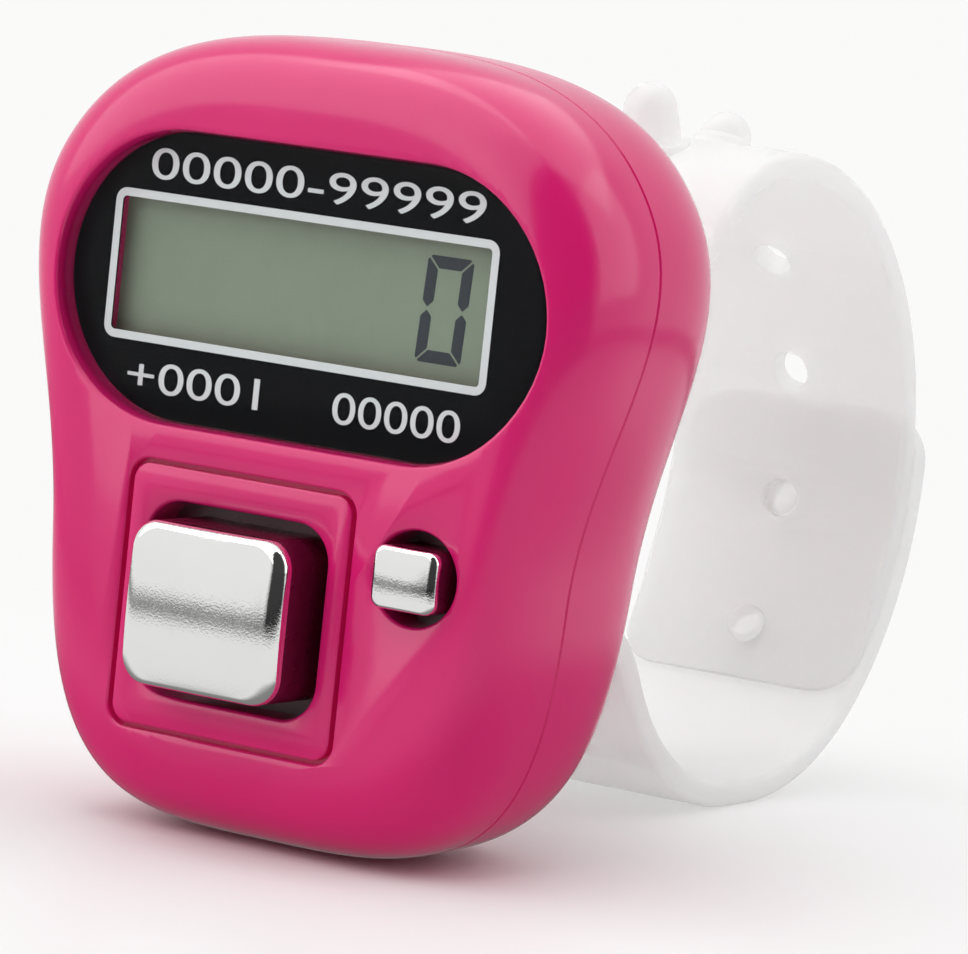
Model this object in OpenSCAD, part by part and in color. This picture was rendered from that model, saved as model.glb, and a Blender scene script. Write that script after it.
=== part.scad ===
// Finger-worn digital tally counter: two moulded shells round a small LCD counter,
// with a chrome count key, a chrome reset key and an adjustable two-piece finger strap.
// Every piece is drawn upright: X to the right, Y from front to back with zero on the
// seam between the shells, Z up with zero at mid height. stand() then tips the whole
// counter back until its rounded bottom and its strap rest on the table together.

/* [Body] */
// Height of the body, from the crown of its top to its rounded bottom
body_h = 41.6; // [40.5:0.1:46]
// Width of the body across the display
body_w = 38.4; // [37.4:0.1:42]
// Width of the lower lobe, across the keys
lobe_w = 29.2; // [28.5:0.1:33]
// Depth of the front shell, from the seam to its face
front_depth = 6.4; // [6.1:0.1:7.6]
// Depth of the rear shell, from the seam to its back
rear_depth = 9.6; // [8.6:0.1:12]
// Width of the rounded border of the front shell
front_round = 4.5; // [4:0.1:8]
// Width of the rounded border of the rear shell
rear_round = 5.5; // [3:0.1:6]
// Wall of both shells
wall = 1.5; // [1.1:0.1:1.7]
// Bevel that makes the seam line on each shell
seam_bevel = 0.18; // [0.1:0.01:0.3]

/* [Display] */
// Width of the face on each side of the black display lens
lens_border = 4.65; // [4:0.05:5.6]
// Thickness of the display lens
lens_t = 1; // [0.8:0.05:1.2]
// How far the lens lies below the face
lens_recess = 0.55; // [0.3:0.05:0.7]
// Width of the black print at each end of the window
window_border = 3.25; // [2.8:0.05:4]
// How far the LCD glass reaches past each end of the window
lcd_reach = 1.1; // [0.8:0.1:1.3]

/* [Keys] */
// Width of the count key
count_w = 9.6; // [8.6:0.1:9.8]
// Height of the count key
count_h = 8.5; // [7:0.1:8.8]
// How far the count key stands out of the face
count_out = 3; // [2:0.1:4]
// Gap all round the count key, in its opening
count_gap = 0.8; // [0.4:0.05:0.9]
// Side of the square groove round the count key
groove_w = 13.8; // [13.4:0.1:14.6]
// Height of the groove's lower side above the bottom of the body
groove_rise = 5.3; // [4.9:0.1:5.8]
// Width of the reset key
reset_w = 3.8; // [2.8:0.1:3.9]
// Height of the reset key
reset_h = 3.2; // [2.4:0.1:3.3]
// How far the reset key stands out of the face
reset_out = 1.2; // [0.6:0.1:2]
// Diameter of the round opening of the reset key
reset_hole_d = 4.9; // [4.8:0.1:5.2]
// Distance from the edge of the lobe to the middle of the reset key
reset_side = 5.3; // [5.2:0.1:5.7]
// How far the reset key sits higher than the count key
reset_rise = 3.3; // [2.5:0.1:3.7]
// Travel of both keys
key_travel = 0.5; // [0.2:0.05:0.6]

/* [Strap] */
// Width of both strap pieces
strap_w = 15.6; // [13:0.1:16.5]
// Thickness of both strap pieces
strap_t = 1.5; // [1.2:0.05:1.7]
// Radius of the loop, at the middle of the inner strap piece
loop_r = 17.6; // [16.5:0.05:19]
// Distance from the seam back to the near side of the loop, were it a full circle
loop_gap = 13.7; // [12:0.05:17]
// Radius of the strap holes
hole_r = 1.1; // [0.8:0.05:1.3]
// Number of strap holes
hole_count = 4; // [3:1:4]
// Height of the upper strap pin
upper_pin_z = 8.3; // [8.2:0.1:9]
// Height of the lower strap pin
lower_pin_z = -6.9; // [-8:0.1:-6.8]
// Radius of the strap pins
pin_r = 0.9; // [0.7:0.05:1]

/* [Battery] */
// Diameter of the button cell
cell_d = 11.6; // [10.5:0.1:11.8]
// Thickness of the button cell
cell_t = 3.05; // [2.5:0.05:3.2]

/* [Hidden] */
$fn = 64;
overrun = 1;

// Outline of the body: a rounded square that narrows to a lobe below its waist
outline_n = 64;
top_power = 2.98;
bottom_power = 3.72;
depth_power = 2.8;
back_power = 2.8;
waist_share = -0.31;
shoulder_share = 0.69;

function ease(t) = let(u = min(1, max(0, t))) u * u * (3 - 2 * u);
function side(v) = v < 0 ? -1 : 1;
// The waist fades into a plain taper as straight goes from 0 at the seam to 1 at the flat face
function half_width(z, half_h, inset, straight) =
    let(
        waisted = ease((z / half_h - waist_share) / (shoulder_share - waist_share)),
        tapered = (z / half_h + 1) / 2,
        s = waisted + (tapered - waisted) * straight
    )
    (lobe_w / 2 + (body_w - lobe_w) / 2 * s) - inset;
function outline(inset, straight = 0) =
    let(half_h = body_h / 2 - inset)
    [for (i = [0:outline_n - 1])
        let(
            a = 360 * i / outline_n,
            power = sin(a) < 0 ? bottom_power : top_power,
            r = pow(pow(abs(cos(a)), power) + pow(abs(sin(a)), power), -1 / power),
            z = half_h * r * sin(a)
        )
        [half_width(z, half_h, inset, straight) * r * cos(a), z]];

// Depth rings of a domed shell half: [inset, depth, straight] from the seam to the flat face
function dome_rings(depth, border, first_inset, power, n) =
    [for (i = [0:n])
        let(a = 90 * i / n)
        [first_inset + (border - first_inset) * (1 - pow(cos(a), 2 / power)),
            depth * pow(sin(a), 2 / power), 1 - cos(a)]];

// Closed solid through rings of equally many points, in order from front to back
module loft(rings) {
    n = len(rings[0]);
    last = len(rings) - 1;
    points = [for (ring = rings) for (p = ring) p];
    sides = [for (k = [0:last - 1]) for (i = [0:n - 1])
        let(a = k * n + i, b = k * n + (i + 1) % n, c = a + n, d = b + n)
        each [[a, b, d], [a, d, c]]];
    front_cap = [[for (i = [0:n - 1]) n - 1 - i]];
    back_cap = [[for (i = [0:n - 1]) last * n + i]];
    polyhedron(points = points, faces = concat(sides, front_cap, back_cap), convexity = 6);
}

function ring_at(inset, y, straight = 0) = [for (p = outline(inset, straight)) [p[0], y, p[1]]];
function reverse(list) = [for (i = [len(list) - 1:-1:0]) list[i]];

// Lip of the rear shell, which locates it inside the rim of the front shell
lip_t = 0.7;
lip_h = 1;
lip_clear = 0.1;
lip_inset = wall + lip_clear;

outer_steps = 10;
cavity_steps = 7;
front_outer = concat([for (r = reverse(dome_rings(front_depth - seam_bevel, front_round, 0,
    depth_power, outer_steps))) ring_at(r[0], -seam_bevel - r[1], r[2])], [ring_at(seam_bevel, 0)]);
front_cavity = concat([for (r = reverse(dome_rings(front_depth - wall, front_round, wall,
    depth_power, cavity_steps))) ring_at(r[0], -r[1], r[2])], [ring_at(wall, overrun)]);
rear_outer = concat(
    [ring_at(lip_inset, -lip_h), ring_at(lip_inset, 0), ring_at(seam_bevel, 0)],
    [for (r = dome_rings(rear_depth - seam_bevel, rear_round, 0, back_power, outer_steps))
        ring_at(r[0], seam_bevel + r[1], r[2])]);
rear_cavity = concat(
    [ring_at(lip_inset + lip_t, -lip_h - overrun), ring_at(lip_inset + lip_t, lip_h)],
    [for (r = dome_rings(rear_depth - wall, rear_round, wall, back_power, cavity_steps))
        if (r[1] > lip_h) ring_at(r[0], r[1], r[2])]);

// A solid drawn as an XZ outline and pushed from y0 back to y1
module slab(y0, y1) {
    translate([0, y1, 0]) rotate([90, 0, 0]) linear_extrude(y1 - y0) children();
}
// A round bar along Y
module peg(x, z, r, y0, y1) {
    translate([x, y1, z]) rotate([90, 0, 0]) cylinder(r = r, h = y1 - y0);
}
module round_rect(w, h, r) {
    square([w - 2 * r, h], center = true);
    square([w, h - 2 * r], center = true);
    for (sx = [-1, 1], sz = [-1, 1]) translate([sx * (w / 2 - r), sz * (h / 2 - r)]) circle(r = r);
}
module stadium(w, h) {
    square([w - h, h], center = true);
    for (s = [-1, 1]) translate([s * (w - h) / 2, 0]) circle(d = h);
}

// Screw posts: places from the edges of the body and of its lobe
upper_post_side = 13.2;
upper_post_drop = 4.2;
lower_post_side = 9;
lower_post_rise = 3.9;
post_r = 1.7;
post_clear = 0.3;

// Heights on the face: the display needs its least height between the posts and the groove,
// and takes its share of what is spare
lcd_clear = 0.1;
holder_wall = 0.7;
least_lcd_h = 7.2;
least_lcd_rise = 2.1;
spare_h = body_h - upper_post_drop - post_r - post_clear - holder_wall - lcd_clear - least_lcd_h
    - least_lcd_rise - groove_w - groove_rise;
lcd_h_share = 0.645;
lcd_rise_share = 0.29;
window_h_share = 0.473;
lens_rim = 1.9;
groove_top_z = groove_rise + groove_w - body_h / 2;
count_z = groove_top_z - groove_w / 2;
reset_z = count_z + reset_rise;
lcd_h = least_lcd_h + lcd_h_share * spare_h;
lens_h = lcd_h + 2 * lens_rim;
window_h = window_h_share * lens_h;
display_z = groove_top_z + least_lcd_rise + lcd_rise_share * spare_h + lcd_h / 2;
lens_w = body_w - 2 * lens_border;
window_w = lens_w - 2 * window_border;
lcd_w = window_w + 2 * lcd_reach;

// Depths of the display stack, from the face back
face_y = -front_depth;
lens_front_y = face_y + lens_recess;
lens_back_y = lens_front_y + lens_t;
mask_t = 0.1;
seat_front_y = lens_back_y + mask_t;
seat_t = 0.9;
seat_back_y = seat_front_y + seat_t;
film_t = 0.15;
glass_t = 0.5;
glass_front_y = seat_back_y + film_t;
glass_mid_y = glass_front_y + glass_t;
glass_back_y = glass_mid_y + glass_t;
lcd_back_y = glass_back_y + film_t;
lens_clear = 0.1;
lens_collar = 1;
window_lip = 0.6;
holder_floor_t = 1.03;
holder_lip = 0.9;
contact_ledge = 1.8;
strip_w = 1.3;
// The holder's corners follow the inside of the front shell, where its front edge meets it
holder_clear = 0.15;
holder_angle = asin(pow(-seat_back_y / (front_depth - wall), depth_power / 2));
holder_inset = wall + (front_round - wall) * (1 - pow(cos(holder_angle), 2 / depth_power))
    + holder_clear;

// Circuit board, clamped between the posts of the two shells
board_gap = 0.3;
board_inset = lip_inset + lip_t + board_gap;
board_y = lcd_back_y + holder_floor_t;
board_t = 0.8;
board_back_y = board_y + board_t;

// Screws through the rear shell and the board into posts of the front shell
upper_post_x = body_w / 2 - upper_post_side;
upper_post_z = body_h / 2 - upper_post_drop;
lower_post_x = lobe_w / 2 - lower_post_side;
lower_post_z = lower_post_rise - body_h / 2;
posts = [[-upper_post_x, upper_post_z], [upper_post_x, upper_post_z],
    [-lower_post_x, lower_post_z], [lower_post_x, lower_post_z]];
thread_r = 0.45;
screw_r = 0.5;
screw_pass_r = 0.6;
screw_head_r = 1.1;
screw_head_h = 0.9;
screw_seat_t = 1.2;
head_well_r = 1.3;
screw_bite = 2.2;

// Keys, their collars and their switches. The count key's flange stands between the wall and
// the reset key's flange, and its place there is a share of the room on both its sides.
count_corner = 1.5;
opening_corner = 2;
collar_t = 0.8;
collar_short = 0.36;
collar_back_y = seat_back_y - collar_short;
flange_gap = 0.08;
flange_t = 0.6;
flange_edge = 0.6;
count_flange_w = count_w + 2 * (count_gap + flange_edge);
count_flange_h = count_h + 2 * (count_gap + flange_edge);
reset_flange_r = reset_hole_d / 2 + flange_edge;
flange_wall = 2.96;
flange_space_share = 0.293;
reset_x = lobe_w / 2 - reset_side;
flange_room = reset_x - reset_flange_r + lobe_w / 2 - flange_wall - count_flange_w;
count_x = reset_x - reset_flange_r - flange_space_share * flange_room - count_flange_w / 2;
flange_front_y = collar_back_y + flange_gap;
flange_back_y = flange_front_y + flange_t;
stem_gap = 0.04;
stem_front_y = flange_back_y + stem_gap;
case_front_y = stem_front_y + key_travel + 2 * stem_gap;
stem_depth = 0.8;
stem_clear = 0.05;
count_case_w = 6;
reset_case_w = 4.5;
count_stem_r = 1.75;
reset_stem_r = 1.1;
case_corner = 0.4;
reset_corner = 0.7;
key_edge = 0.8;
key_crown = 0.35;
groove_corner = 1.1;
groove_line = 0.3;
groove_depth = 0.55;
key_n = 40;

// Rectangle with rounded corners as a ring of points, for the keys
function key_outline(w, h, r) =
    [for (i = [0:key_n - 1])
        let(
            a = 360 * (i + 0.5) / key_n,
            cx = side(cos(a)) * (w / 2 - r),
            cz = side(sin(a)) * (h / 2 - r)
        )
        [cx + r * cos(a), cz + r * sin(a)]];
function key_ring(x, z, w, h, r, y) =
    [for (p = key_outline(w, h, r)) [x + p[0], y, z + p[1]]];
edge_steps = 5;
face_steps = 5;
inner_corner_share = 0.35;
// A key cap: a crowned face, a rounded edge and straight sides down to y1
module key_cap(x, z, w, h, r, edge, crown, y0, y1) {
    inner_r = inner_corner_share * r;
    crowned = [for (k = [0:edge_steps])
        let(a = 90 * k / edge_steps, inset = edge * (1 - sin(a)))
        key_ring(x, z, w - 2 * inset, h - 2 * inset, max(r - inset, inner_r),
            y0 + crown + edge * (1 - cos(a)))];
    face = [for (k = [1:face_steps - 1])
        let(s = k / face_steps)
        key_ring(x, z, (w - 2 * edge) * s, (h - 2 * edge) * s, inner_r * s, y0 + crown * s * s)];
    loft(concat(face, crowned, [key_ring(x, z, w, h, r, y1)]));
}

// Battery bay in the rear shell
cell_x = -1.4;
cell_z = 0.7;
cell_clear = 0.15;
bay_wall = 0.8;
door_t = 1;
door_clear = 0.1;
door_margin = 0.3;
door_corner = 2;
door_screw_x = 8;
door_right = door_screw_x + 1.6 * screw_head_r;
door_left = cell_x - cell_d / 2 - 2 * door_margin;
door_w = door_right - door_left;
door_h = cell_d + 2 * door_margin;
door_x = (door_right + door_left) / 2;
door_front_y = rear_depth - door_t;
cell_back_y = door_front_y - cell_clear;
cell_front_y = cell_back_y - cell_t;
contact_t = 0.2;
bay_floor_back_y = cell_front_y - contact_t - 2 * stem_gap;
bay_floor_t = 0.6;
bay_floor_y = bay_floor_back_y - bay_floor_t;
contact_w = 2.4;
slot_clear = 0.15;

// Strap pins and lugs
pin_clear = 0.05;
lug_gap = 0.3;
lug_t = 2.3;
lug_r = 1.35;
lug_skin = 0.65;
eye_r = pin_r + pin_clear;
eye_out_r = eye_r + strap_t;
eye_mid_r = eye_r + strap_t / 2;
strap_back_gap = 0.35;
pin_y = rear_depth + strap_back_gap + eye_out_r;
lug_in_x = strap_w / 2 + lug_gap;
lug_out_x = lug_in_x + lug_t;
pin_half = lug_out_x - lug_skin;

// Middle line of each strap piece, as arcs: [y, z, angle of its outward normal]. Where two
// arcs turn the strap out and back again, the share is the second one's part of their radii.
arc_n = 14;
loop_z = -1.8;
loop_y = loop_r + loop_gap;
top_bend_share = 0.655;
top_bend_angle = 55;
upper_end_angle = -48;
layer_gap = 0.12;
lap_end_angle = 8.5;
lap_bend_angle = -40;
lap_bend_share = 0.8115;
bottom_bend_share = 0.628;
bottom_bend_angle = 60;
lap_r = loop_r + strap_t + layer_gap;
lap_bend_r = lap_bend_share * lap_r;
lap_y = loop_y + (lap_r - lap_bend_r) * cos(lap_bend_angle);
lap_z = loop_z + (lap_r - lap_bend_r) * sin(lap_bend_angle);

function arc(cy, cz, r, from, to, turned = 0) =
    [for (i = [0:arc_n])
        let(a = from + (to - from) * i / arc_n)
        [cy + r * cos(a), cz + r * sin(a), a + turned]];
function shifted(path, d) = [for (p = path) [p[0] + d * cos(p[2]), p[1] + d * sin(p[2])]];

upper_start_z = upper_pin_z + eye_mid_r;
top_z = loop_z + loop_r;
top_radii = (top_z - upper_start_z) / (1 - cos(top_bend_angle));
top_bend_r = top_bend_share * top_radii;
upper_lead_r = top_radii - top_bend_r;
upper_bend_y = loop_y - top_radii * sin(top_bend_angle);
upper_path = concat(
    [[pin_y, upper_start_z, 90]],
    arc(upper_bend_y, upper_start_z + upper_lead_r, upper_lead_r, -90,
        -90 + top_bend_angle, 180),
    arc(loop_y, top_z - top_bend_r, top_bend_r, 90 + top_bend_angle, 90),
    arc(loop_y, loop_z, loop_r, 90, 0),
    arc(loop_y, loop_z, loop_r, 0, lap_bend_angle),
    arc(lap_y, lap_z, lap_bend_r - strap_t - layer_gap, lap_bend_angle, upper_end_angle));

bottom_z = lap_z - lap_bend_r;
lower_start_z = lower_pin_z - eye_mid_r;
bottom_radii = (lower_start_z - bottom_z) / (1 - cos(bottom_bend_angle));
bottom_bend_r = bottom_bend_share * bottom_radii;
lower_lead_r = bottom_radii - bottom_bend_r;
bottom_y = pin_y + strap_t / 10 + bottom_radii * sin(bottom_bend_angle);
lower_path = concat(
    [[pin_y, lower_start_z, -90]],
    arc(pin_y + strap_t / 10, lower_start_z - lower_lead_r, lower_lead_r, 90,
        90 - bottom_bend_angle, 180),
    arc(bottom_y, bottom_z + bottom_bend_r, bottom_bend_r, -90 - bottom_bend_angle, -90),
    arc(lap_y, lap_z, lap_bend_r, -90, lap_bend_angle),
    arc(loop_y, loop_z, lap_r, lap_bend_angle, lap_end_angle));

// Row of holes down the back of the loop, and the studs on top of it
hole_first_angle = 42.2;
hole_pitch_angle = 25.9;
stud_first_angle = 73.8;
stud_count = 2;
stud_steps = 6;
stud_r = 1.25;
stud_h = 2.4;
stud_top_share = 0.8;
plug_clear = 0.06;
plug_short = 0.3;
plug_holes = [2, 3];

// Lean of the resting counter: bottom of the body and bottom of the strap on one level
function low_of_body(t) = min([for (ring = concat(front_outer, rear_outer))
    let(p = ring[3 * outline_n / 4]) p[2] * cos(t) - p[1] * sin(t)]);
function low_of_strap(t) = lap_z * cos(t) - lap_y * sin(t) - lap_bend_r - strap_t / 2;
function find_lean(lo, hi, n) =
    let(mid = (lo + hi) / 2)
    n == 0 ? mid
        : low_of_body(mid) < low_of_strap(mid) ? find_lean(mid, hi, n - 1)
        : find_lean(lo, mid, n - 1);
lean_limit = 30;
lean_steps = 30;
lean = find_lean(0, lean_limit, lean_steps);
count_face_y = face_y - count_out;
count_low_z = count_z - count_h / 2 + key_edge;
front_reach = (count_face_y + key_crown) * cos(lean) + count_low_z * sin(lean);
back_reach = loop_y * cos(lean) + loop_z * sin(lean) + lap_r + strap_t / 2;

module stand() {
    translate([0, -(front_reach + back_reach) / 2, -low_of_body(lean)])
        rotate([-lean, 0, 0]) children();
}

module post_holes(r, y0, y1) {
    for (p = posts) peg(p[0], p[1], r, y0, y1);
}

module front_shell() {
    color([0.80, 0.05, 0.33]) stand() difference() {
        loft(front_outer);
        difference() {
            loft(front_cavity);
            translate([0, 0, display_z]) slab(face_y - overrun, seat_back_y)
                stadium(lens_w + 2 * lens_collar, lens_h + 2 * lens_collar);
            translate([count_x, 0, count_z]) slab(face_y - overrun, collar_back_y)
                round_rect(count_w + 2 * (count_gap + collar_t),
                    count_h + 2 * (count_gap + collar_t), opening_corner + collar_t);
            peg(reset_x, reset_z, reset_hole_d / 2 + collar_t, face_y - overrun, collar_back_y);
            post_holes(post_r, face_y - overrun, board_y);
        }
        translate([0, 0, display_z]) slab(face_y - overrun, seat_front_y)
            stadium(lens_w + 2 * lens_clear, lens_h + 2 * lens_clear);
        translate([0, 0, display_z]) slab(face_y, seat_back_y + overrun)
            square([window_w + 2 * window_lip, window_h + 2 * window_lip], center = true);
        translate([count_x, 0, count_z]) slab(face_y - overrun, collar_back_y + overrun)
            round_rect(count_w + 2 * count_gap, count_h + 2 * count_gap, opening_corner);
        peg(reset_x, reset_z, reset_hole_d / 2, face_y - overrun, collar_back_y + overrun);
        translate([count_x, 0, count_z]) slab(face_y - overrun, face_y + groove_depth)
            difference() {
                round_rect(groove_w, groove_w, groove_corner);
                round_rect(groove_w - 2 * groove_line, groove_w - 2 * groove_line,
                    groove_corner - groove_line);
            }
        post_holes(thread_r, board_y - screw_bite - overrun, board_y + overrun);
    }
}

module door_outline(grow) {
    round_rect(door_w + 2 * grow, door_h + 2 * grow, door_corner + grow);
}

// Lug behind the back, with a blind hole for the end of a strap pin
module lug(s, z) {
    translate([s * (lug_in_x + lug_out_x) / 2, pin_y, z]) difference() {
        union() {
            translate([-lug_t / 2, 0, 0]) rotate([0, 90, 0]) cylinder(r = lug_r, h = lug_t);
            translate([-lug_t / 2, rear_depth - wall / 2 - pin_y, -lug_r])
                cube([lug_t, pin_y - rear_depth + wall / 2, 2 * lug_r]);
        }
        translate([-s * (lug_t / 2 + overrun), 0, 0]) rotate([0, s * 90, 0])
            cylinder(r = eye_r, h = lug_t + overrun - lug_skin);
    }
}
module lugs() {
    for (z = [upper_pin_z, lower_pin_z], s = [-1, 1]) lug(s, z);
}

module rear_body() {
    difference() {
        loft(rear_outer);
        difference() {
            loft(rear_cavity);
            post_holes(post_r, board_back_y, rear_depth);
            peg(cell_x, cell_z, cell_d / 2 + cell_clear + bay_wall, bay_floor_y, rear_depth);
            translate([door_x, 0, cell_z]) slab(door_front_y - bay_wall, rear_depth)
                door_outline(bay_wall);
            peg(door_screw_x, cell_z, post_r, bay_floor_y, rear_depth);
        }
        peg(cell_x, cell_z, cell_d / 2 + cell_clear, bay_floor_back_y, rear_depth + overrun);
        translate([door_x, 0, cell_z]) slab(door_front_y, rear_depth + overrun)
            door_outline(door_clear);
        peg(door_screw_x, cell_z, thread_r, bay_floor_y + bay_floor_t, door_front_y + overrun);
        translate([cell_x - contact_w / 2 - slot_clear, bay_floor_y - overrun,
            cell_z - contact_w / 2 - slot_clear])
            cube([contact_w + 2 * slot_clear, bay_floor_t + 2 * overrun,
                contact_w + 2 * slot_clear]);
        translate([cell_x - contact_w / 2 - slot_clear, bay_floor_y - overrun,
            cell_z - cell_d / 2 - 3 * contact_t])
            cube([contact_w + 2 * slot_clear, door_front_y - bay_floor_y + overrun - contact_t,
                4 * contact_t]);
        post_holes(screw_pass_r, board_back_y - overrun, rear_depth + overrun);
        post_holes(head_well_r, rear_depth - wall, rear_depth + overrun);
    }
}

module rear_shell() {
    color([0.80, 0.05, 0.33]) stand() union() {
        rear_body();
        lugs();
    }
}

module display_lens() {
    color([0.85, 0.88, 0.88, 0.4]) stand() translate([0, 0, display_z])
        slab(lens_front_y, lens_back_y) stadium(lens_w, lens_h);
}

module lens_mask() {
    color([0.02, 0.02, 0.02]) stand() translate([0, 0, display_z])
        slab(lens_back_y, seat_front_y) difference() {
            stadium(lens_w, lens_h);
            square([window_w, window_h], center = true);
        }
}

module lcd_sheet(y0, y1, top_cut, bottom_cut) {
    stand() translate([-lcd_w / 2, y0, display_z - lcd_h / 2 + bottom_cut])
        cube([lcd_w, y1 - y0, lcd_h - top_cut - bottom_cut]);
}
module lcd_front_polarizer() {
    color([0.45, 0.50, 0.45]) lcd_sheet(seat_back_y, glass_front_y, film_t, film_t);
}
module lcd_front_glass() {
    color([0.70, 0.75, 0.70, 0.5]) lcd_sheet(glass_front_y, glass_mid_y, 0, 0);
}
module lcd_rear_glass() {
    color([0.70, 0.75, 0.70, 0.5]) lcd_sheet(glass_mid_y, glass_back_y, 0, contact_ledge);
}
module lcd_reflector() {
    color([0.60, 0.63, 0.57]) lcd_sheet(glass_back_y, lcd_back_y, film_t,
        contact_ledge + film_t);
}

module lcd_holder() {
    color([0.15, 0.15, 0.16]) stand() translate([0, 0, display_z]) difference() {
        slab(seat_back_y, board_y) intersection() {
            square([lcd_w + 2 * (lcd_clear + holder_wall), lcd_h + 2 * (lcd_clear + holder_wall)],
                center = true);
            translate([0, -display_z]) polygon(outline(holder_inset, 1 - cos(holder_angle)));
        }
        slab(seat_back_y - overrun, lcd_back_y)
            square([lcd_w + 2 * lcd_clear, lcd_h + 2 * lcd_clear], center = true);
        translate([0, 0, contact_ledge / 2]) slab(lcd_back_y - overrun, board_y + overrun)
            square([lcd_w - 2 * holder_lip, lcd_h - 2 * holder_lip - contact_ledge],
                center = true);
        translate([0, 0, (contact_ledge - lcd_h) / 2]) slab(lcd_back_y - overrun,
            board_y + overrun)
            square([lcd_w - 2 * holder_lip + 2 * lcd_clear, strip_w + 2 * lcd_clear],
                center = true);
    }
}

module elastomer_connector() {
    color([0.75, 0.45, 0.55]) stand()
        translate([holder_lip - lcd_w / 2, glass_mid_y,
            display_z - lcd_h / 2 + (contact_ledge - strip_w) / 2])
        cube([lcd_w - 2 * holder_lip, board_y - glass_mid_y, strip_w]);
}

module circuit_board() {
    color([0.05, 0.33, 0.16]) stand() difference() {
        slab(board_y, board_back_y) polygon(outline(board_inset));
        post_holes(screw_pass_r, board_y - overrun, board_back_y + overrun);
    }
}

blob_r = 2.6;
blob_h = 1;
blob_z = count_z - count_h / 3;
blob_steps = 6;
module chip_blob() {
    color([0.03, 0.03, 0.03]) stand() translate([count_x, board_back_y, blob_z])
        rotate([-90, 0, 0]) rotate_extrude() polygon(concat([[0, 0]],
            [for (i = [0:blob_steps]) let(a = 90 * i / blob_steps)
                [blob_r * cos(a), blob_h * sin(a)]]));
}

chip_part_w = 1.6;
chip_part_t = 0.8;
module board_components() {
    color([0.55, 0.45, 0.30]) stand() for (i = [0:2])
        translate([reset_x - 2 * chip_part_w, board_back_y,
            blob_z + i * 2 * chip_part_w - chip_part_t / 2])
            cube([chip_part_w, chip_part_t, chip_part_t]);
}

module switch_case(x, z, w, stem_r) {
    stand() difference() {
        translate([x, 0, z]) slab(case_front_y, board_y) round_rect(w, w, case_corner);
        peg(x, z, stem_r + stem_clear, case_front_y - overrun,
            case_front_y + stem_depth + key_travel);
    }
}
module switch_stem(x, z, stem_r) {
    stand() peg(x, z, stem_r, stem_front_y, case_front_y + stem_depth - stem_gap);
}
module count_switch_case() {
    color([0.12, 0.12, 0.13]) switch_case(count_x, count_z, count_case_w, count_stem_r);
}
module reset_switch_case() {
    color([0.12, 0.12, 0.13]) switch_case(reset_x, reset_z, reset_case_w, reset_stem_r);
}
module count_switch_stem() {
    color([0.75, 0.72, 0.65]) switch_stem(count_x, count_z, count_stem_r);
}
module reset_switch_stem() {
    color([0.75, 0.72, 0.65]) switch_stem(reset_x, reset_z, reset_stem_r);
}

module count_button() {
    color([0.85, 0.85, 0.87]) stand() union() {
        key_cap(count_x, count_z, count_w, count_h, count_corner, key_edge, key_crown,
            count_face_y, flange_back_y);
        translate([count_x, 0, count_z]) slab(flange_front_y, flange_back_y)
            round_rect(count_flange_w, count_flange_h, opening_corner + flange_edge);
    }
}
module reset_button() {
    color([0.85, 0.85, 0.87]) stand() union() {
        key_cap(reset_x, reset_z, reset_w, reset_h, reset_corner, key_edge / 2, key_crown / 3,
            face_y - reset_out, flange_back_y);
        peg(reset_x, reset_z, reset_flange_r, flange_front_y, flange_back_y);
    }
}

cell_step = 0.6;
cell_rim = 0.5;
module battery_cell() {
    color([0.78, 0.78, 0.76]) stand() union() {
        peg(cell_x, cell_z, cell_d / 2, cell_front_y + cell_step, cell_back_y);
        peg(cell_x, cell_z, cell_d / 2 - 2 * cell_rim, cell_front_y, cell_back_y);
    }
}

module battery_contact_positive() {
    wall_z = cell_z - cell_d / 2 - stem_gap;
    color([0.80, 0.72, 0.45]) stand()
        translate([cell_x - contact_w / 2, board_back_y, wall_z - contact_t])
        cube([contact_w, cell_back_y - 2 * contact_t - board_back_y, contact_t]);
}
module battery_contact_negative() {
    color([0.80, 0.72, 0.45]) stand() union() {
        translate([cell_x - 1.4 * contact_w, bay_floor_back_y + stem_gap,
            cell_z - contact_w / 2])
            cube([2.8 * contact_w, contact_t, contact_w]);
        translate([cell_x - contact_w / 2, board_back_y, cell_z - contact_w / 2])
            cube([contact_w, bay_floor_back_y + stem_gap + contact_t - board_back_y, contact_t]);
    }
}

module battery_door() {
    color([0.80, 0.05, 0.33]) stand() difference() {
        translate([door_x, 0, cell_z]) slab(door_front_y, rear_depth) door_outline(0);
        peg(door_screw_x, cell_z, screw_pass_r, door_front_y - overrun, rear_depth + overrun);
        peg(door_screw_x, cell_z, head_well_r, rear_depth - door_t / 2, rear_depth + overrun);
    }
}

// Small screw: shaft, head and a cross slot
slot_w = 0.25;
module screw(x, z, head_y, tip_y) {
    difference() {
        union() {
            peg(x, z, thread_r - stem_gap, tip_y, head_y);
            peg(x, z, screw_head_r, head_y, head_y + screw_head_h / 2);
        }
        for (a = [0, 90]) translate([x, head_y + screw_head_h / 2, z]) rotate([0, a, 0])
            cube([1.3 * screw_head_r, screw_head_h / 2, slot_w], center = true);
    }
}
module battery_door_screw() {
    color([0.60, 0.60, 0.62]) stand() screw(door_screw_x, cell_z, rear_depth - door_t / 2,
        bay_floor_y + 2 * bay_floor_t);
}
module case_screws() {
    color([0.60, 0.60, 0.62]) stand() for (p = posts)
        screw(p[0], p[1], rear_depth - wall, board_y - screw_bite);
}

module eye(z) {
    translate([-strap_w / 2, pin_y, z]) rotate([0, 90, 0]) cylinder(r = eye_out_r, h = strap_w);
}
module eye_bore(z) {
    translate([-strap_w / 2 - overrun, pin_y, z]) rotate([0, 90, 0])
        cylinder(r = eye_r, h = strap_w + 2 * overrun);
}
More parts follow.
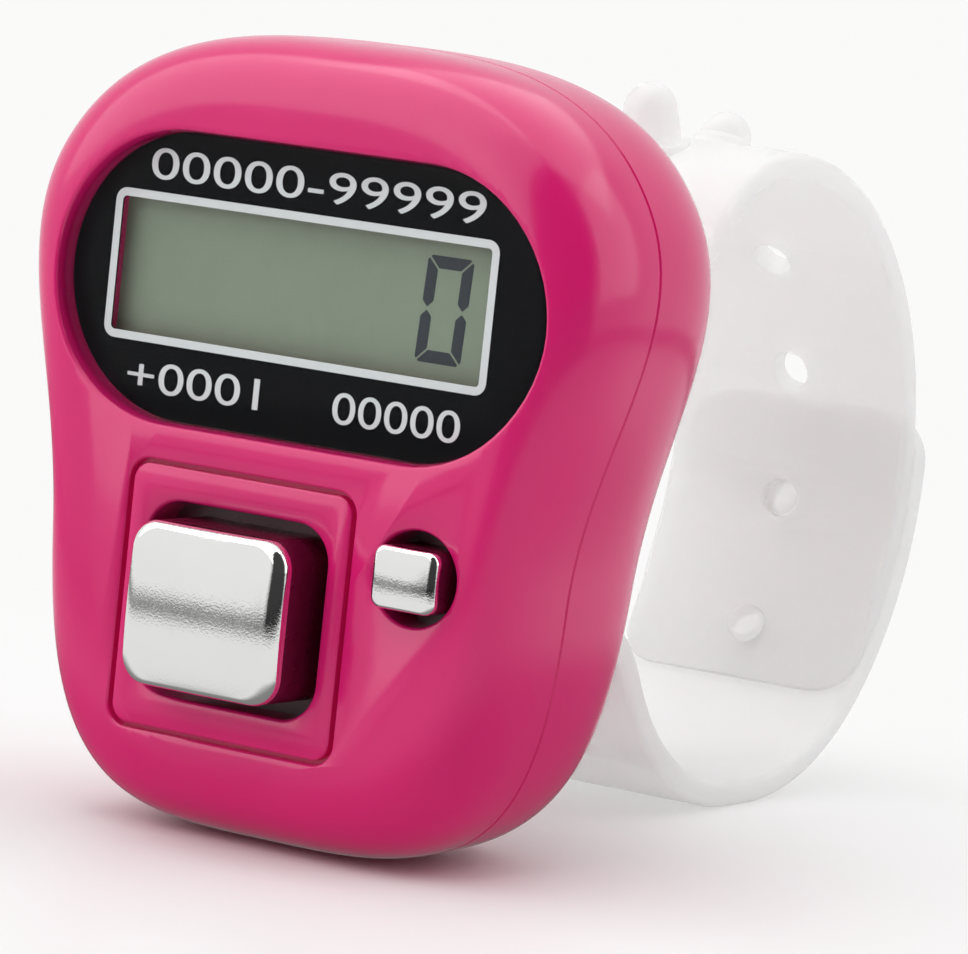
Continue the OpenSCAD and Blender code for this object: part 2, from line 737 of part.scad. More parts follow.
// Band along a path: its side outline drawn in YZ and pushed across the width
module band(path) {
    translate([-strap_w / 2, 0, 0]) rotate([90, 0, 90]) linear_extrude(strap_w)
        polygon(concat(shifted(path, -strap_t / 2), reverse(shifted(path, strap_t / 2))));
}
// Round bar that points out of the loop at an angle, from radius r0 to r1
module spoke(angle, r, r0, r1) {
    translate([0, loop_y, loop_z]) rotate([angle - 90, 0, 0]) translate([0, 0, r0])
        cylinder(r = r, h = r1 - r0);
}

// Tapered stud with a round tip, standing out of the band
module stud(angle) {
    tip_r = stud_r * stud_top_share;
    tip_z = strap_t / 2 + stud_h - tip_r;
    translate([0, loop_y, loop_z]) rotate([angle - 90, 0, 0]) translate([0, 0, loop_r])
        rotate_extrude() polygon(concat([[0, 0], [stud_r, 0]],
            [for (i = [0:stud_steps]) let(a = 90 * i / stud_steps)
                [tip_r * cos(a), tip_z + tip_r * sin(a)]]));
}

module strap_upper() {
    color([0.93, 0.93, 0.92, 0.8]) stand() difference() {
        union() {
            band(upper_path);
            eye(upper_pin_z);
            for (i = [0:stud_count - 1]) stud(stud_first_angle + i * hole_pitch_angle);
        }
        eye_bore(upper_pin_z);
        for (i = [0:hole_count - 1])
            spoke(hole_first_angle - i * hole_pitch_angle, hole_r, loop_r - strap_t,
                loop_r + strap_t);
    }
}

module strap_lower() {
    color([0.93, 0.93, 0.92, 0.8]) stand() difference() {
        union() {
            band(lower_path);
            eye(lower_pin_z);
            for (i = plug_holes)
                spoke(hole_first_angle - i * hole_pitch_angle, hole_r - plug_clear,
                    loop_r - strap_t / 2 + plug_short, lap_r);
        }
        eye_bore(lower_pin_z);
    }
}

module strap_pin(z) {
    color([0.70, 0.70, 0.72]) stand() translate([-pin_half, pin_y, z]) rotate([0, 90, 0])
        cylinder(r = pin_r, h = 2 * pin_half);
}
module strap_pin_upper() {
    strap_pin(upper_pin_z);
}
module strap_pin_lower() {
    strap_pin(lower_pin_z);
}

front_shell();
rear_shell();
display_lens();
lens_mask();
lcd_front_polarizer();
lcd_front_glass();
lcd_rear_glass();
lcd_reflector();
lcd_holder();
elastomer_connector();
circuit_board();
chip_blob();
board_components();
count_switch_case();
count_switch_stem();
reset_switch_case();
reset_switch_stem();
count_button();
reset_button();
battery_cell();
battery_contact_positive();
battery_contact_negative();
battery_door();
battery_door_screw();
case_screws();
strap_upper();
strap_lower();
strap_pin_upper();
strap_pin_lower();
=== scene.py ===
import math

import bmesh
import bpy
from mathutils import Matrix, Quaternion, Vector


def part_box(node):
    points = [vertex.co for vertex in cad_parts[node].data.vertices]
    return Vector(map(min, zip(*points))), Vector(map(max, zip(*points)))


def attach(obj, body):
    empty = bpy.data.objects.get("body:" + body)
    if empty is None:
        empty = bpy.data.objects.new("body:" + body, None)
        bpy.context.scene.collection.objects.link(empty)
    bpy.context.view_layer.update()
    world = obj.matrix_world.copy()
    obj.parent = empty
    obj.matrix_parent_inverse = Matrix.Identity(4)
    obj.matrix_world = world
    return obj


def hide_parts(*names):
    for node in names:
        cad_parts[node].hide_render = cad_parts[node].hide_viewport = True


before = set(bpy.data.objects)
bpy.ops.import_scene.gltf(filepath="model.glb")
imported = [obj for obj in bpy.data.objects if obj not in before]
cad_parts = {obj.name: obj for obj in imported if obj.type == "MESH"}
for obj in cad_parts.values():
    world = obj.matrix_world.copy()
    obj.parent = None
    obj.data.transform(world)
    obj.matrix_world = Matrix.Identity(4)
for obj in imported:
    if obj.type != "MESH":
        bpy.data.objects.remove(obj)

bl_info = {
    "name": "Digital Tasbih Counter",
    "version": (1, 0, 0),
    "blender": (4, 5, 0),
    "location": "View3D > Sidebar > Counter",
    "description": "Dresses a finger-worn digital counter with its shells, display, keys and strap",
    "category": "Add Mesh",
}

MM = 0.001
QUARTER = math.pi / 2


# The upright counter: zero on the seam between the shells, at mid height

class Box:
    """A node's box after a matrix: its corners, middle and sides. Its front has the lower y."""

    def __init__(self, node_name, matrix, wider=0.0):
        points = [matrix @ v.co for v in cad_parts[node_name].data.vertices]
        self.low, self.high = (Vector(end(p[i] for p in points) for i in range(3))
                               for end in (min, max))
        self.high.x += wider
        self.x, self.y, self.z = ((a + b) / 2 for a, b in zip(self.low, self.high))
        self.width, self.depth, self.height = (b - a for a, b in zip(self.low, self.high))
        self.front, self.back = self.low.y, self.high.y

    def rounded(self, radius):
        return Rounded(self.x, self.z, self.width, self.height, radius)


def find_stand():
    """Matrix from the upright counter to the counter that leans back on its strap."""
    upper, lower = (sum(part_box(pin), Vector()) for pin in ("strap_pin_upper", "strap_pin_lower"))
    lean = upper - lower
    turn = Matrix.Rotation(-math.atan2(lean.y, lean.z), 4, "X")
    shell = Box("front_shell", turn.inverted())
    return turn @ Matrix.Translation((0, shell.back, shell.z))


STAND = find_stand()
UPRIGHT = STAND.inverted()
SHELL, DOOR, MASK, FILM, BOARD, CELL, COUNT, RESET, STRAP, PIN, LOWER_PIN, SCREWS, DOOR_SCREW = (
    Box(node_name, UPRIGHT) for node_name in (
        "front_shell", "battery_door", "lens_mask", "lcd_front_polarizer", "circuit_board",
        "battery_cell", "count_button", "reset_button", "strap_upper", "strap_pin_upper",
        "strap_pin_lower", "case_screws", "battery_door_screw"))
LENS = Box("display_lens", UPRIGHT, wider=0.55 * MM)


# Settings that the sidebar shows

def length(name, description, metres):
    return bpy.props.FloatProperty(name=name, description=description, default=metres,
                                   unit="LENGTH", precision=5)


def angle(name, description, degrees):
    return bpy.props.FloatProperty(name=name, description=description,
                                   default=math.radians(degrees), unit="ROTATION")


def colour(name, description, value):
    return bpy.props.FloatVectorProperty(name=name, description=description, default=value,
                                         subtype="COLOR", size=3, min=0, max=1)


class BodySizes(bpy.types.PropertyGroup):
    width: length("Width", "Width of the body across the display", 38.4 * MM)
    height: length("Height", "Height of the body", SHELL.height)
    front_depth: length("Front depth", "From the seam to the face", -SHELL.front)
    rear_depth: length("Rear depth", "From the seam to the back", DOOR.back)
    lobe_width: length("Lobe width", "Width of the lower lobe, across the keys", 29.2 * MM)
    front_round: length("Front border", "Width of the rounded front border", 4.5 * MM)
    rear_round: length("Rear border", "Width of the rounded rear border", 5.5 * MM)
    wall: length("Wall", "Wall of both shells", 1.5 * MM)
    seam_bevel: length("Seam bevel", "Bevel of each shell at the seam", 0.12 * MM)
    lip: length("Edge rounding", "Rounding of the edges of the openings", 0.22 * MM)
    groove: length("Groove side", "Side of the square groove round the count key", 13.8 * MM)
    groove_line: length("Groove line", "Width of the groove's line", 0.3 * MM)


class DisplaySizes(bpy.types.PropertyGroup):
    window_width: length("Window width", "Width of the window in the print", 22.74 * MM)
    window_height: length("Window height", "Height of the window in the print", 6.96 * MM)
    window_side: length("Window place", "How far the window sits to the left", 0.44 * MM)
    window_rise: length("Window rise", "How far the window sits above the lens's middle",
                        0.25 * MM)
    frame_line: length("Frame line", "Width of the line round the window", 0.43 * MM)
    digit_width: length("Digit width", "Width of a digit on the display", 2.74 * MM)
    digit_height: length("Digit height", "Height of a digit on the display", 5.44 * MM)
    segment: length("Segment", "Width of a digit's segments", 0.64 * MM)
    number_height: length("Number height", "Height of the printed numbers", 1.7 * MM)


class KeySizes(bpy.types.PropertyGroup):
    count_width: length("Count key width", "Width of the count key", 9.6 * MM)
    count_height: length("Count key height", "Height of the count key", 8.5 * MM)
    count_gap: length("Count gap", "Gap round the count key", 0.8 * MM)
    reset_width: length("Reset key width", "Width of the reset key", 3.8 * MM)
    reset_height: length("Reset key height", "Height of the reset key", 3.2 * MM)
    reset_hole: length("Reset opening", "Diameter of the reset key's opening", 4.9 * MM)
    crown: length("Crown", "How far the count key's face bulges", 0.35 * MM)
    flange: length("Flange", "Thickness of the flange inside the shell", 0.6 * MM)


class StrapSizes(bpy.types.PropertyGroup):
    width: length("Width", "Width of the strap", 2 * STRAP.high.x)
    thickness: length("Thickness", "Thickness of the strap", 1.5 * MM)
    loop_radius: length("Loop radius", "Radius of the loop, at mid thickness", 17.6 * MM)
    loop_depth: length("Loop depth", "From the seam back to the loop's middle", 31.3 * MM)
    loop_drop: length("Loop drop", "How far the loop's middle lies below mid height", 1.8 * MM)
    hole_radius: length("Hole radius", "Radius of the strap's holes", 1.1 * MM)
    layer_gap: length("Layer gap", "Gap between the two layers where they overlap", 0.12 * MM)
    edge: length("Edge rounding", "Rounding of the strap's edges", 0.4 * MM)


class Finish(bpy.types.PropertyGroup):
    shell: colour("Shell", "Colour of the moulded shells", (0.68, 0.012, 0.155))
    print_white: colour("Print", "Colour of the printed line and numbers", (0.78, 0.79, 0.80))
    display: colour("Display", "Colour of the display's film", (0.25, 0.302, 0.22))
    segments: colour("Segments", "Colour of the dark segments", (0.012, 0.020, 0.030))
    silicone: colour("Silicone", "Colour of the milky strap", (0.95, 0.945, 0.93))
    chrome: colour("Chrome", "Colour of the plated keys", (0.90, 0.90, 0.89))


class StageSettings(bpy.types.PropertyGroup):
    azimuth: angle("Azimuth", "Camera's turn round the counter", 31.547)
    elevation: angle("Elevation", "Camera's height above the horizon", 6.529)
    roll: angle("Roll", "Camera's turn about its own line of sight", 5.789)
    distance: length("Distance", "From the camera to the point it looks at", 300.225 * MM)
    focal_length: bpy.props.FloatProperty(
        name="Focal length", description="Camera's focal length in millimetres on 36 mm",
        default=204.545)
    floor_size: length("Floor", "Side of the pale floor", 8.0)
    world: bpy.props.FloatProperty(name="World", description="Strength of the sky", default=0.74)


class CounterSettings(bpy.types.PropertyGroup):
    body: bpy.props.PointerProperty(type=BodySizes)
    display: bpy.props.PointerProperty(type=DisplaySizes)
    keys: bpy.props.PointerProperty(type=KeySizes)
    strap: bpy.props.PointerProperty(type=StrapSizes)
    finish: bpy.props.PointerProperty(type=Finish)
    stage: bpy.props.PointerProperty(type=StageSettings)


def settings():
    return bpy.context.scene.counter


# Objects

SHARP_ANGLE = math.radians(32)


def new_object(name, data):
    made = bpy.data.objects.new(name, data)
    bpy.context.scene.collection.objects.link(made)
    return made


def mesh_object(name, bm):
    mesh = bpy.data.meshes.new(name)
    bm.to_mesh(mesh)
    bm.free()
    return new_object(name, mesh)


def to_object(name, bm, material=None):
    """An object from a bmesh that was drawn upright, stood as the counter stands."""
    bmesh.ops.remove_doubles(bm, verts=bm.verts, dist=0.0002 * MM)
    bmesh.ops.recalc_face_normals(bm, faces=bm.faces)
    bmesh.ops.transform(bm, matrix=STAND, verts=bm.verts)
    made = mesh_object(name, bm)
    if material:
        made.data.materials.append(material)
    shade(made.data)
    return made


def tool(bm):
    """A cutter, boss or lug: an object that a boolean uses up."""
    return to_object("tool", bm)


def shade(mesh):
    mesh.polygons.foreach_set("use_smooth", [True] * len(mesh.polygons))
    mesh.set_sharp_from_angle(angle=SHARP_ANGLE)
    mesh.update()


def evaluated_mesh(made):
    graph = bpy.context.evaluated_depsgraph_get()
    return bpy.data.meshes.new_from_object(made.evaluated_get(graph))


def boolean(target, tools, operation="DIFFERENCE"):
    """Cuts the tools from a target or adds them to it, and leaves no modifiers."""
    for used in tools:
        modifier = target.modifiers.new(operation.title(), "BOOLEAN")
        modifier.object = used
        modifier.operation = operation
        modifier.solver = "MANIFOLD"
    mesh = evaluated_mesh(target)
    target.modifiers.clear()
    target.data = mesh
    shade(mesh)
    for used in tools:
        bpy.data.objects.remove(used)
    return target


def place(made, body, slot, *nodes):
    """Rides a finished piece on its body and hides the nodes it stands for; its slot is not used.
    """
    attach(made, body)
    if nodes:
        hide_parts(*nodes)


# Outlines and solids

CORNER_STEPS, SIDE_STEPS, LIP_STEPS = 14, 10, 5
SAME_PLACE = 0.01 * MM
OVERRUN = 1 * MM


def quarter(steps):
    """Angles of a quarter turn in even steps."""
    return [QUARTER * k / steps for k in range(steps + 1)]


def rolled(across, along, reach, rise, steps=LIP_STEPS):
    """Quarter round in a profile, from reach beside the point (across, along) to rise past it."""
    return [(across + reach * (1 - math.sin(a)), along + rise * (1 - math.cos(a)))
            for a in quarter(steps)]


def between(first, second, share):
    return tuple(a + (b - a) * share for a, b in zip(first, second))


def rounded_rectangle(width, height, radius, corner_steps=CORNER_STEPS, side_steps=SIDE_STEPS):
    """Points of a rounded rectangle round zero, with as many points at any size."""
    corners = []
    for turn, (side_x, side_z) in enumerate(((1, 1), (-1, 1), (-1, -1), (1, -1))):
        x, z = side_x * (width / 2 - radius), side_z * (height / 2 - radius)
        corners.append([(x + radius * math.cos(turn * QUARTER + a),
                         z + radius * math.sin(turn * QUARTER + a))
                        for a in quarter(corner_steps)])
    points = []
    for corner, following in zip(corners, corners[1:] + corners[:1]):
        points += corner + [between(corner[-1], following[0], k / side_steps)
                            for k in range(1, side_steps)]
    return points


def ring(points, y):
    return [Vector((x, y, z)) for x, z in points]


class Rounded:
    """Rounded rectangle in the plane of the seam: its middle, sides and corners' radius."""

    def __init__(self, x, z, width, height, radius):
        self.x, self.z, self.width, self.height, self.radius = x, z, width, height, radius

    def grown(self, out):
        return Rounded(self.x, self.z, self.width + 2 * out, self.height + 2 * out,
                       self.radius + out)

    def points(self):
        return [(self.x + x, self.z + z)
                for x, z in rounded_rectangle(self.width, self.height, self.radius)]

    def ring(self, y):
        return ring(self.points(), y)


def disc(x, z, radius):
    return Rounded(x, z, 2 * radius, 2 * radius, radius)


def loft(rings, joined=False):
    """Solid made by extruding a ring of points to each next one, capped or joined end to end."""
    bm = bmesh.new()
    verts = bmesh.ops.create_circle(bm, segments=len(rings[0]), radius=MM)["verts"]
    first = edges = list(dict.fromkeys(e for v in verts for e in v.link_edges))
    for vert, point in zip(verts, rings[0]):
        vert.co = point
    for next_ring in rings[1:] + (rings[:1] if joined else []):
        geom = bmesh.ops.extrude_edge_only(bm, edges=edges)["geom"]
        made = set(geom)
        verts = [next(e.other_vert(v) for e in v.link_edges if e.other_vert(v) in made)
                 for v in verts]
        edges = [e for e in geom if isinstance(e, bmesh.types.BMEdge)
                 and e.verts[0] in made and e.verts[1] in made]
        for vert, point in zip(verts, next_ring):
            vert.co = point
    if not joined:
        for loop in (first, edges):
            bmesh.ops.contextual_create(bm, geom=loop)
    return bm


def plate(shape, front, back):
    return loft([shape.ring(front), shape.ring(back)])


def prism(shape, front, back):
    return tool(plate(shape, front, back))


def soft_plate(shape, plain_y, soft_y, edge):
    """Plate whose rim is rolled over at one of its two faces."""
    rings = [shape.grown(-shrink).ring(y) for shrink, y in
             rolled(0, soft_y, edge, math.copysign(edge, plain_y - soft_y))]
    return loft(rings + [shape.ring(plain_y)])


def extrude(bm, points, shift):
    """Adds a straight solid: the face inside the points, extruded by a shift."""
    face = bm.faces.new([bm.verts.new(point) for point in points])
    made = bmesh.ops.extrude_face_region(bm, geom=[face])["geom"]
    bmesh.ops.translate(bm, vec=shift, verts=[v for v in made
                                              if isinstance(v, bmesh.types.BMVert)])


def soften(bm, axis, offset, clamped=False):
    """Bevels the rims of a straight solid's two end faces."""
    rims = [e for e in bm.edges if abs(e.verts[0].co[axis] - e.verts[1].co[axis]) < SAME_PLACE]
    bmesh.ops.bevel(bm, geom=rims, offset=offset, segments=4, profile=0.5, affect="EDGES",
                    material=-1, clamp_overlap=clamped)


def rod(radius, reach, middle, segments, rounding=0.0):
    """Round bar that lies across the counter, with rounded rims if it has a rounding."""
    bm = bmesh.new()
    bmesh.ops.create_cone(bm, cap_ends=True, segments=segments, radius1=radius, radius2=radius,
                          depth=reach)
    if rounding:
        soften(bm, 2, rounding)
    bmesh.ops.transform(bm, verts=bm.verts, matrix=(
        Matrix.Translation(middle) @ Matrix.Rotation(QUARTER, 4, "Y")))
    return tool(bm)


# The body's outline and its two domes

FRONT, BACK = -1, 1
OUTLINE_POINTS, DOME_STEPS, HALVINGS = 256, 40, 26
TOP_POWER, BOTTOM_POWER, DOME_POWER = 2.98, 3.72, 2.8
WAIST_SHARE, SHOULDER_SHARE = -0.31, 0.69
ROLL_SWEEP = math.radians(66)


def ease(value):
    t = min(1.0, max(0.0, value))
    return t * t * (3 - 2 * t)


def half_width(z, half_height, inset, straight):
    """Half of the widest the outline would be at a height, before its ends are rounded."""
    body = settings().body
    height_share = z / half_height
    waisted = ease((height_share - WAIST_SHARE) / (SHOULDER_SHARE - WAIST_SHARE))
    tapered = (height_share + 1) / 2
    widening = waisted + (tapered - waisted) * straight
    return (body.lobe_width + (body.width - body.lobe_width) * widening) / 2 - inset


def outline(inset, straight=0.0):
    """The body's outline, drawn in from its edge. Its waist fades as straight goes to 1."""
    half_height = settings().body.height / 2 - inset
    points = []
    for i in range(OUTLINE_POINTS):
        a = math.tau * i / OUTLINE_POINTS
        power = BOTTOM_POWER if math.sin(a) < 0 else TOP_POWER
        reach = (abs(math.cos(a)) ** power + abs(math.sin(a)) ** power) ** (-1 / power)
        z = half_height * reach * math.sin(a)
        points.append((half_width(z, half_height, inset, straight) * reach * math.cos(a), z))
    return points


def inside(x, z, inset, straight):
    half_height = settings().body.height / 2 - inset
    if abs(z) >= half_height:
        return False
    power = BOTTOM_POWER if z < 0 else TOP_POWER
    reach = abs(x) / half_width(z, half_height, inset, straight)
    return reach ** power + (abs(z) / half_height) ** power < 1


def dome_ring(depth, border, a, first_inset=0.0):
    """Inset, height and straightness of a dome's ring, from the rim at 0 to the flat face."""
    return (first_inset + (border - first_inset)
            * (1 - max(0.0, math.cos(a)) ** (2 / DOME_POWER)),
            depth * math.sin(a) ** (2 / DOME_POWER), 1 - math.cos(a))


def dome_height(x, z, depth, border):
    """How far a dome stands from its rim over the point x, z."""
    inset, height, straight = dome_ring(depth, border, QUARTER)
    if inside(x, z, inset, straight):
        return height
    low, high = 0.0, QUARTER
    for _ in range(HALVINGS):
        a = (low + high) / 2
        inset, height, straight = dome_ring(depth, border, a)
        low, high = (a, high) if inside(x, z, inset, straight) else (low, a)
    return dome_ring(depth, border, low)[1]


def side_sizes(side):
    """Depth of the body's front or back from the seam, and the width of its round border."""
    body = settings().body
    return ((body.front_depth, body.front_round) if side == FRONT
            else (body.rear_depth, body.rear_round))


def skin_ring(side, shape, sink):
    """Ring of a shape laid on the front or back skin and sunk into it."""
    bevel = settings().body.seam_bevel
    depth, border = side_sizes(side)
    return [Vector((x, side * (bevel + dome_height(x, z, depth - bevel, border) - sink), z))
            for x, z in shape.points()]


def opening(side, shape, floor_y, lip):
    """Cutter for an opening whose edge is rounded where it meets the dome."""
    angles = [ROLL_SWEEP * k / LIP_STEPS for k in range(LIP_STEPS + 1)]
    rolls = [(lip * (1 - math.cos(a)), lip * (1 - math.sin(a))) for a in angles]
    grow, sink = rolls[-1]
    past = 0.6 * lip
    rolls.append((grow + past, sink - past / math.tan(ROLL_SWEEP)))
    rings = [shape.ring(floor_y)]
    rings += [skin_ring(side, shape.grown(grow), sink) for grow, sink in rolls]
    rings.append(shape.grown(grow + past).ring(side * (side_sizes(side)[0] + OVERRUN)))
    return tool(loft(rings))


def groove(shape, line, depth, lip):
    """Cutter for a groove along a shape, with its two edges softened."""
    half = [(line / 2 + 3 * lip, -lip), (line / 2 + lip, 0.15 * lip), (line / 2, lip),
            (line / 3, depth)]
    section = half + [(-grow, sink) for grow, sink in reversed(half)]
    return tool(loft([skin_ring(FRONT, shape.grown(grow), sink) for grow, sink in section],
                     joined=True))


def domed(side, depth, first_inset, start, lead, lowest=-1.0):
    """Half of the body as a solid: the lead rings at its rim, then the rings of its dome."""
    rings = [ring(outline(inset), y) for inset, y in lead]
    for a in quarter(DOME_STEPS):
        inset, height, straight = dome_ring(depth, side_sizes(side)[1], a, first_inset)
        if height > lowest:
            rings.append(ring(outline(inset, straight), start + side * height))
    return loft(rings)


# Materials

def feed(tree, made, inputs):
    """Sets a node's inputs to values, or links them where a socket is given."""
    for name, value in inputs.items():
        if isinstance(value, bpy.types.NodeSocket):
            tree.links.new(value, made.inputs[name])
        else:
            made.inputs[name].default_value = value
    return made


def node(tree, kind, inputs, output=0, **choices):
    """Adds a shader node and gives one of its outputs."""
    made = tree.nodes.new("ShaderNode" + kind)
    for name, value in choices.items():
        setattr(made, name, value)
    return feed(tree, made, inputs).outputs[output]


def object_place(tree):
    return node(tree, "TexCoord", {}, "Object")


def noise(tree, scale, detail=3.0, roughness=0.55, stretch=(1, 1, 1)):
    """Noise in object space. Scale is in repeats a metre."""
    stretched = node(tree, "Mapping", {"Vector": object_place(tree), "Scale": stretch})
    return node(tree, "TexNoise", {"Vector": stretched, "Scale": scale, "Detail": detail,
                                   "Roughness": roughness}, "Fac")


def span(tree, value, low, high, from_low=0.3, from_high=0.7):
    """Low to high as the value goes from from_low to from_high, and level past them."""
    return node(tree, "MapRange", {"Value": value, "From Min": from_low, "From Max": from_high,
                                   "To Min": low, "To Max": high}, "Result")


def math_node(tree, operation, first, second):
    return node(tree, "Math", {0: first, 1: second}, operation=operation)


def mix_shader(tree, share, first, second):
    return node(tree, "MixShader", {0: share, 1: first, 2: second})


def ray(tree, kind):
    """One for rays of a kind, otherwise zero."""
    return node(tree, "LightPath", {}, f"Is {kind} Ray")


def seen_directly(tree):
    """One for what the camera sees, also through clear or milky pieces."""
    return math_node(tree, "MAXIMUM", ray(tree, "Camera"), ray(tree, "Transmission"))


def new_material(name):
    material = bpy.data.materials.new(name)
    material.use_nodes = True
    return material, material.node_tree, material.node_tree.nodes["Principled BSDF"]


def surface_material(name, base, rough, metallic=0.0, slow=(900,), vary=0.12, rough_noise=None,
                     rough_vary=0.15, bump_noise=(2500, 2.0), bump=0.05, depth=0.004 * MM,
                     **sockets):
    """Material with slow changes of colour and roughness and a fine bump. Each noise is what
    noise() takes after its tree, and sockets are more of the shader's inputs."""
    material, tree, shader = new_material(name)
    drift = noise(tree, *slow)
    darker, lighter = ((*(min(1.0, c * share) for c in base), 1) for share in (1 - vary, 1 + vary))
    if rough_vary:
        rough = span(tree, noise(tree, *rough_noise) if rough_noise else drift,
                     rough * (1 - rough_vary), rough * (1 + rough_vary))
    feed(tree, shader, {
        "Base Color": node(tree, "Mix", {"Factor": drift, "A": darker, "B": lighter}, "Result",
                           data_type="RGBA"),
        "Roughness": rough,
        "Metallic": metallic,
        "Normal": node(tree, "Bump", {"Strength": bump, "Distance": depth,
                                      "Height": noise(tree, *bump_noise)}, "Normal"),
        **sockets})
    return material


def shell_material():
    """Glossy moulded plastic with a faint ripple from the mould."""
    return surface_material(
        "moulded_pink_plastic", settings().finish.shell, 0.2, slow=(120, 2.0), vary=0.05,
        rough_noise=(700, 4.0), rough_vary=0.2, bump_noise=(450, 2.0), bump=0.10,
        depth=0.01 * MM, **{
            "Specular IOR Level": 0.4, "Coat Weight": 0.15, "Coat Roughness": 0.08,
            "Subsurface Weight": 0.06, "Subsurface Radius": (1.0, 0.2, 0.3),
            "Subsurface Scale": 0.6 * MM})


def silicone_material():
    """Milky translucent silicone: light scatters in it, and its skin is satin."""
    return surface_material(
        "milky_silicone", settings().finish.silicone, 0.4, slow=(160,), vary=0.03,
        rough_noise=(900, 4.0), bump_noise=(1800, 3.0), bump=0.10, depth=0.01 * MM, **{
            "Subsurface Weight": 0.9, "Subsurface Radius": (1.0, 0.95, 0.9),
            "Subsurface Scale": 2.2 * MM, "Alpha": 0.46, "IOR": 1.41})


def chrome_material():
    """Bright plating over moulded plastic, with the plating's fine grain."""
    return surface_material(
        "chrome_plating", settings().finish.chrome, 0.05, 1.0, slow=(260,), vary=0.03,
        rough_noise=(1500, 4.0), rough_vary=0.4, bump_noise=(8500, 2.0, 0.6), bump=0.30,
        depth=0.01 * MM)


def display_material():
    """Reflective display film: grey-green, with a faint vertical grain."""
    return surface_material(
        "display_film", settings().finish.display, 0.5, slow=(900, 3.0, 0.55, (2.5, 1, 0.6)),
        vary=0.06, rough_vary=0, bump_noise=(5000, 2.0), bump=0.08, depth=0.003 * MM)


def lens_material():
    """Clear plastic: it mirrors a little at its skin and lets the print show through."""
    material, tree, shader = new_material("clear_lens_plastic")
    tree.nodes.remove(shader)
    facing = node(tree, "LayerWeight", {"Blend": 0.5}, "Facing")
    mirror = span(tree, math_node(tree, "POWER", facing, 5), 0.006, 1.0, 0.0, 1.0)
    clear = node(tree, "BsdfTransparent", {"Color": (0.97, 0.98, 0.98, 1)})
    gloss = node(tree, "BsdfGlossy", {"Color": (1, 1, 1, 1), "Roughness": span(
        tree, noise(tree, 500), 0.02, 0.05)})
    feed(tree, tree.nodes["Material Output"], {
        "Surface": mix_shader(tree, mirror, clear, gloss)})
    return material


# Operators

SCREW_PILOT, SCREW_SHANK, SCREW_WELL, SCREW_BOSS = 0.45 * MM, 0.6 * MM, 1.3 * MM, 1.7 * MM
DOOR_CORNER, WINDOW_CORNER = 2 * MM, 0.3 * MM
PRINT_GAP = 0.03 * MM


class CounterOperator:
    bl_options = {"REGISTER", "UNDO"}

    def execute(self, context):
        self.build()
        return {"FINISHED"}


def screw_places():
    """The four case screws: a wide pair near the top and a close pair near the bottom."""
    head = 1.1 * MM
    points = [UPRIGHT @ v.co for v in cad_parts["case_screws"].data.vertices]
    lower_x = max(p.x for p in points if p.z < 0) - head
    return [(side * x, z) for side in (-1, 1)
            for x, z in ((SCREWS.high.x - head, SCREWS.high.z - head),
                         (lower_x, SCREWS.low.z + head))]


def window(corner, wider=0.0):
    """The display's window in the print, or a wider one behind it."""
    display = settings().display
    return Rounded(-display.window_side, LENS.z + display.window_rise,
                   display.window_width + wider, display.window_height + wider, corner)


class COUNTER_OT_front_shell(CounterOperator, bpy.types.Operator):
    """Domed front shell with its display recess, key openings and groove"""
    bl_idname = "counter.front_shell"
    bl_label = "Front Shell"

    lens_clear, lens_collar, mask_clear = 0.1 * MM, 1 * MM, 0.1 * MM
    key_collar, key_opening_corner = 0.8 * MM, 2 * MM
    window_step, pilot_depth = 0.7 * MM, 3 * MM
    groove_corner, groove_depth, groove_lip = 1.1 * MM, 0.5 * MM, 0.07 * MM

    def build(self):
        body, keys = settings().body, settings().keys
        bevel, wall = body.seam_bevel, body.wall
        shell = to_object("front_shell_skin", domed(
            FRONT, body.front_depth - bevel, 0.0, -bevel, [(wall, 0.0), (bevel, 0.0)]),
            shell_material())
        lens = LENS.rounded(LENS.height / 2).grown(self.lens_clear)
        count = Rounded(COUNT.x, COUNT.z, keys.count_width, keys.count_height,
                        self.key_opening_corner - keys.count_gap).grown(keys.count_gap)
        reset = disc(RESET.x, RESET.z, keys.reset_hole / 2)
        ahead, key_floor = -body.front_depth - OVERRUN, OVERRUN - body.front_depth / 2
        cavity = tool(domed(FRONT, body.front_depth - wall, wall, 0.0, [(wall, OVERRUN)]))
        boolean(cavity, [prism(lens.grown(self.lens_collar), ahead, FILM.front),
                         prism(count.grown(self.key_collar), ahead, COUNT.back - keys.flange),
                         prism(reset.grown(self.key_collar), ahead, RESET.back - keys.flange)]
                + [prism(disc(x, z, SCREW_BOSS), ahead, BOARD.front)
                   for x, z in screw_places()])
        square = Rounded(COUNT.x, COUNT.z, body.groove, body.groove, self.groove_corner)
        boolean(shell, [
            cavity,
            opening(FRONT, lens, MASK.back, body.lip),
            prism(window(WINDOW_CORNER, self.window_step), MASK.back - self.mask_clear,
                  FILM.front + OVERRUN),
            opening(FRONT, count, key_floor, body.lip),
            opening(FRONT, reset, key_floor, body.lip),
            groove(square, body.groove_line, self.groove_depth, self.groove_lip)]
            + [prism(disc(x, z, SCREW_PILOT), BOARD.front - self.pilot_depth, OVERRUN)
               for x, z in screw_places()])
        place(shell, "housing", "pink_shell", "front_shell")


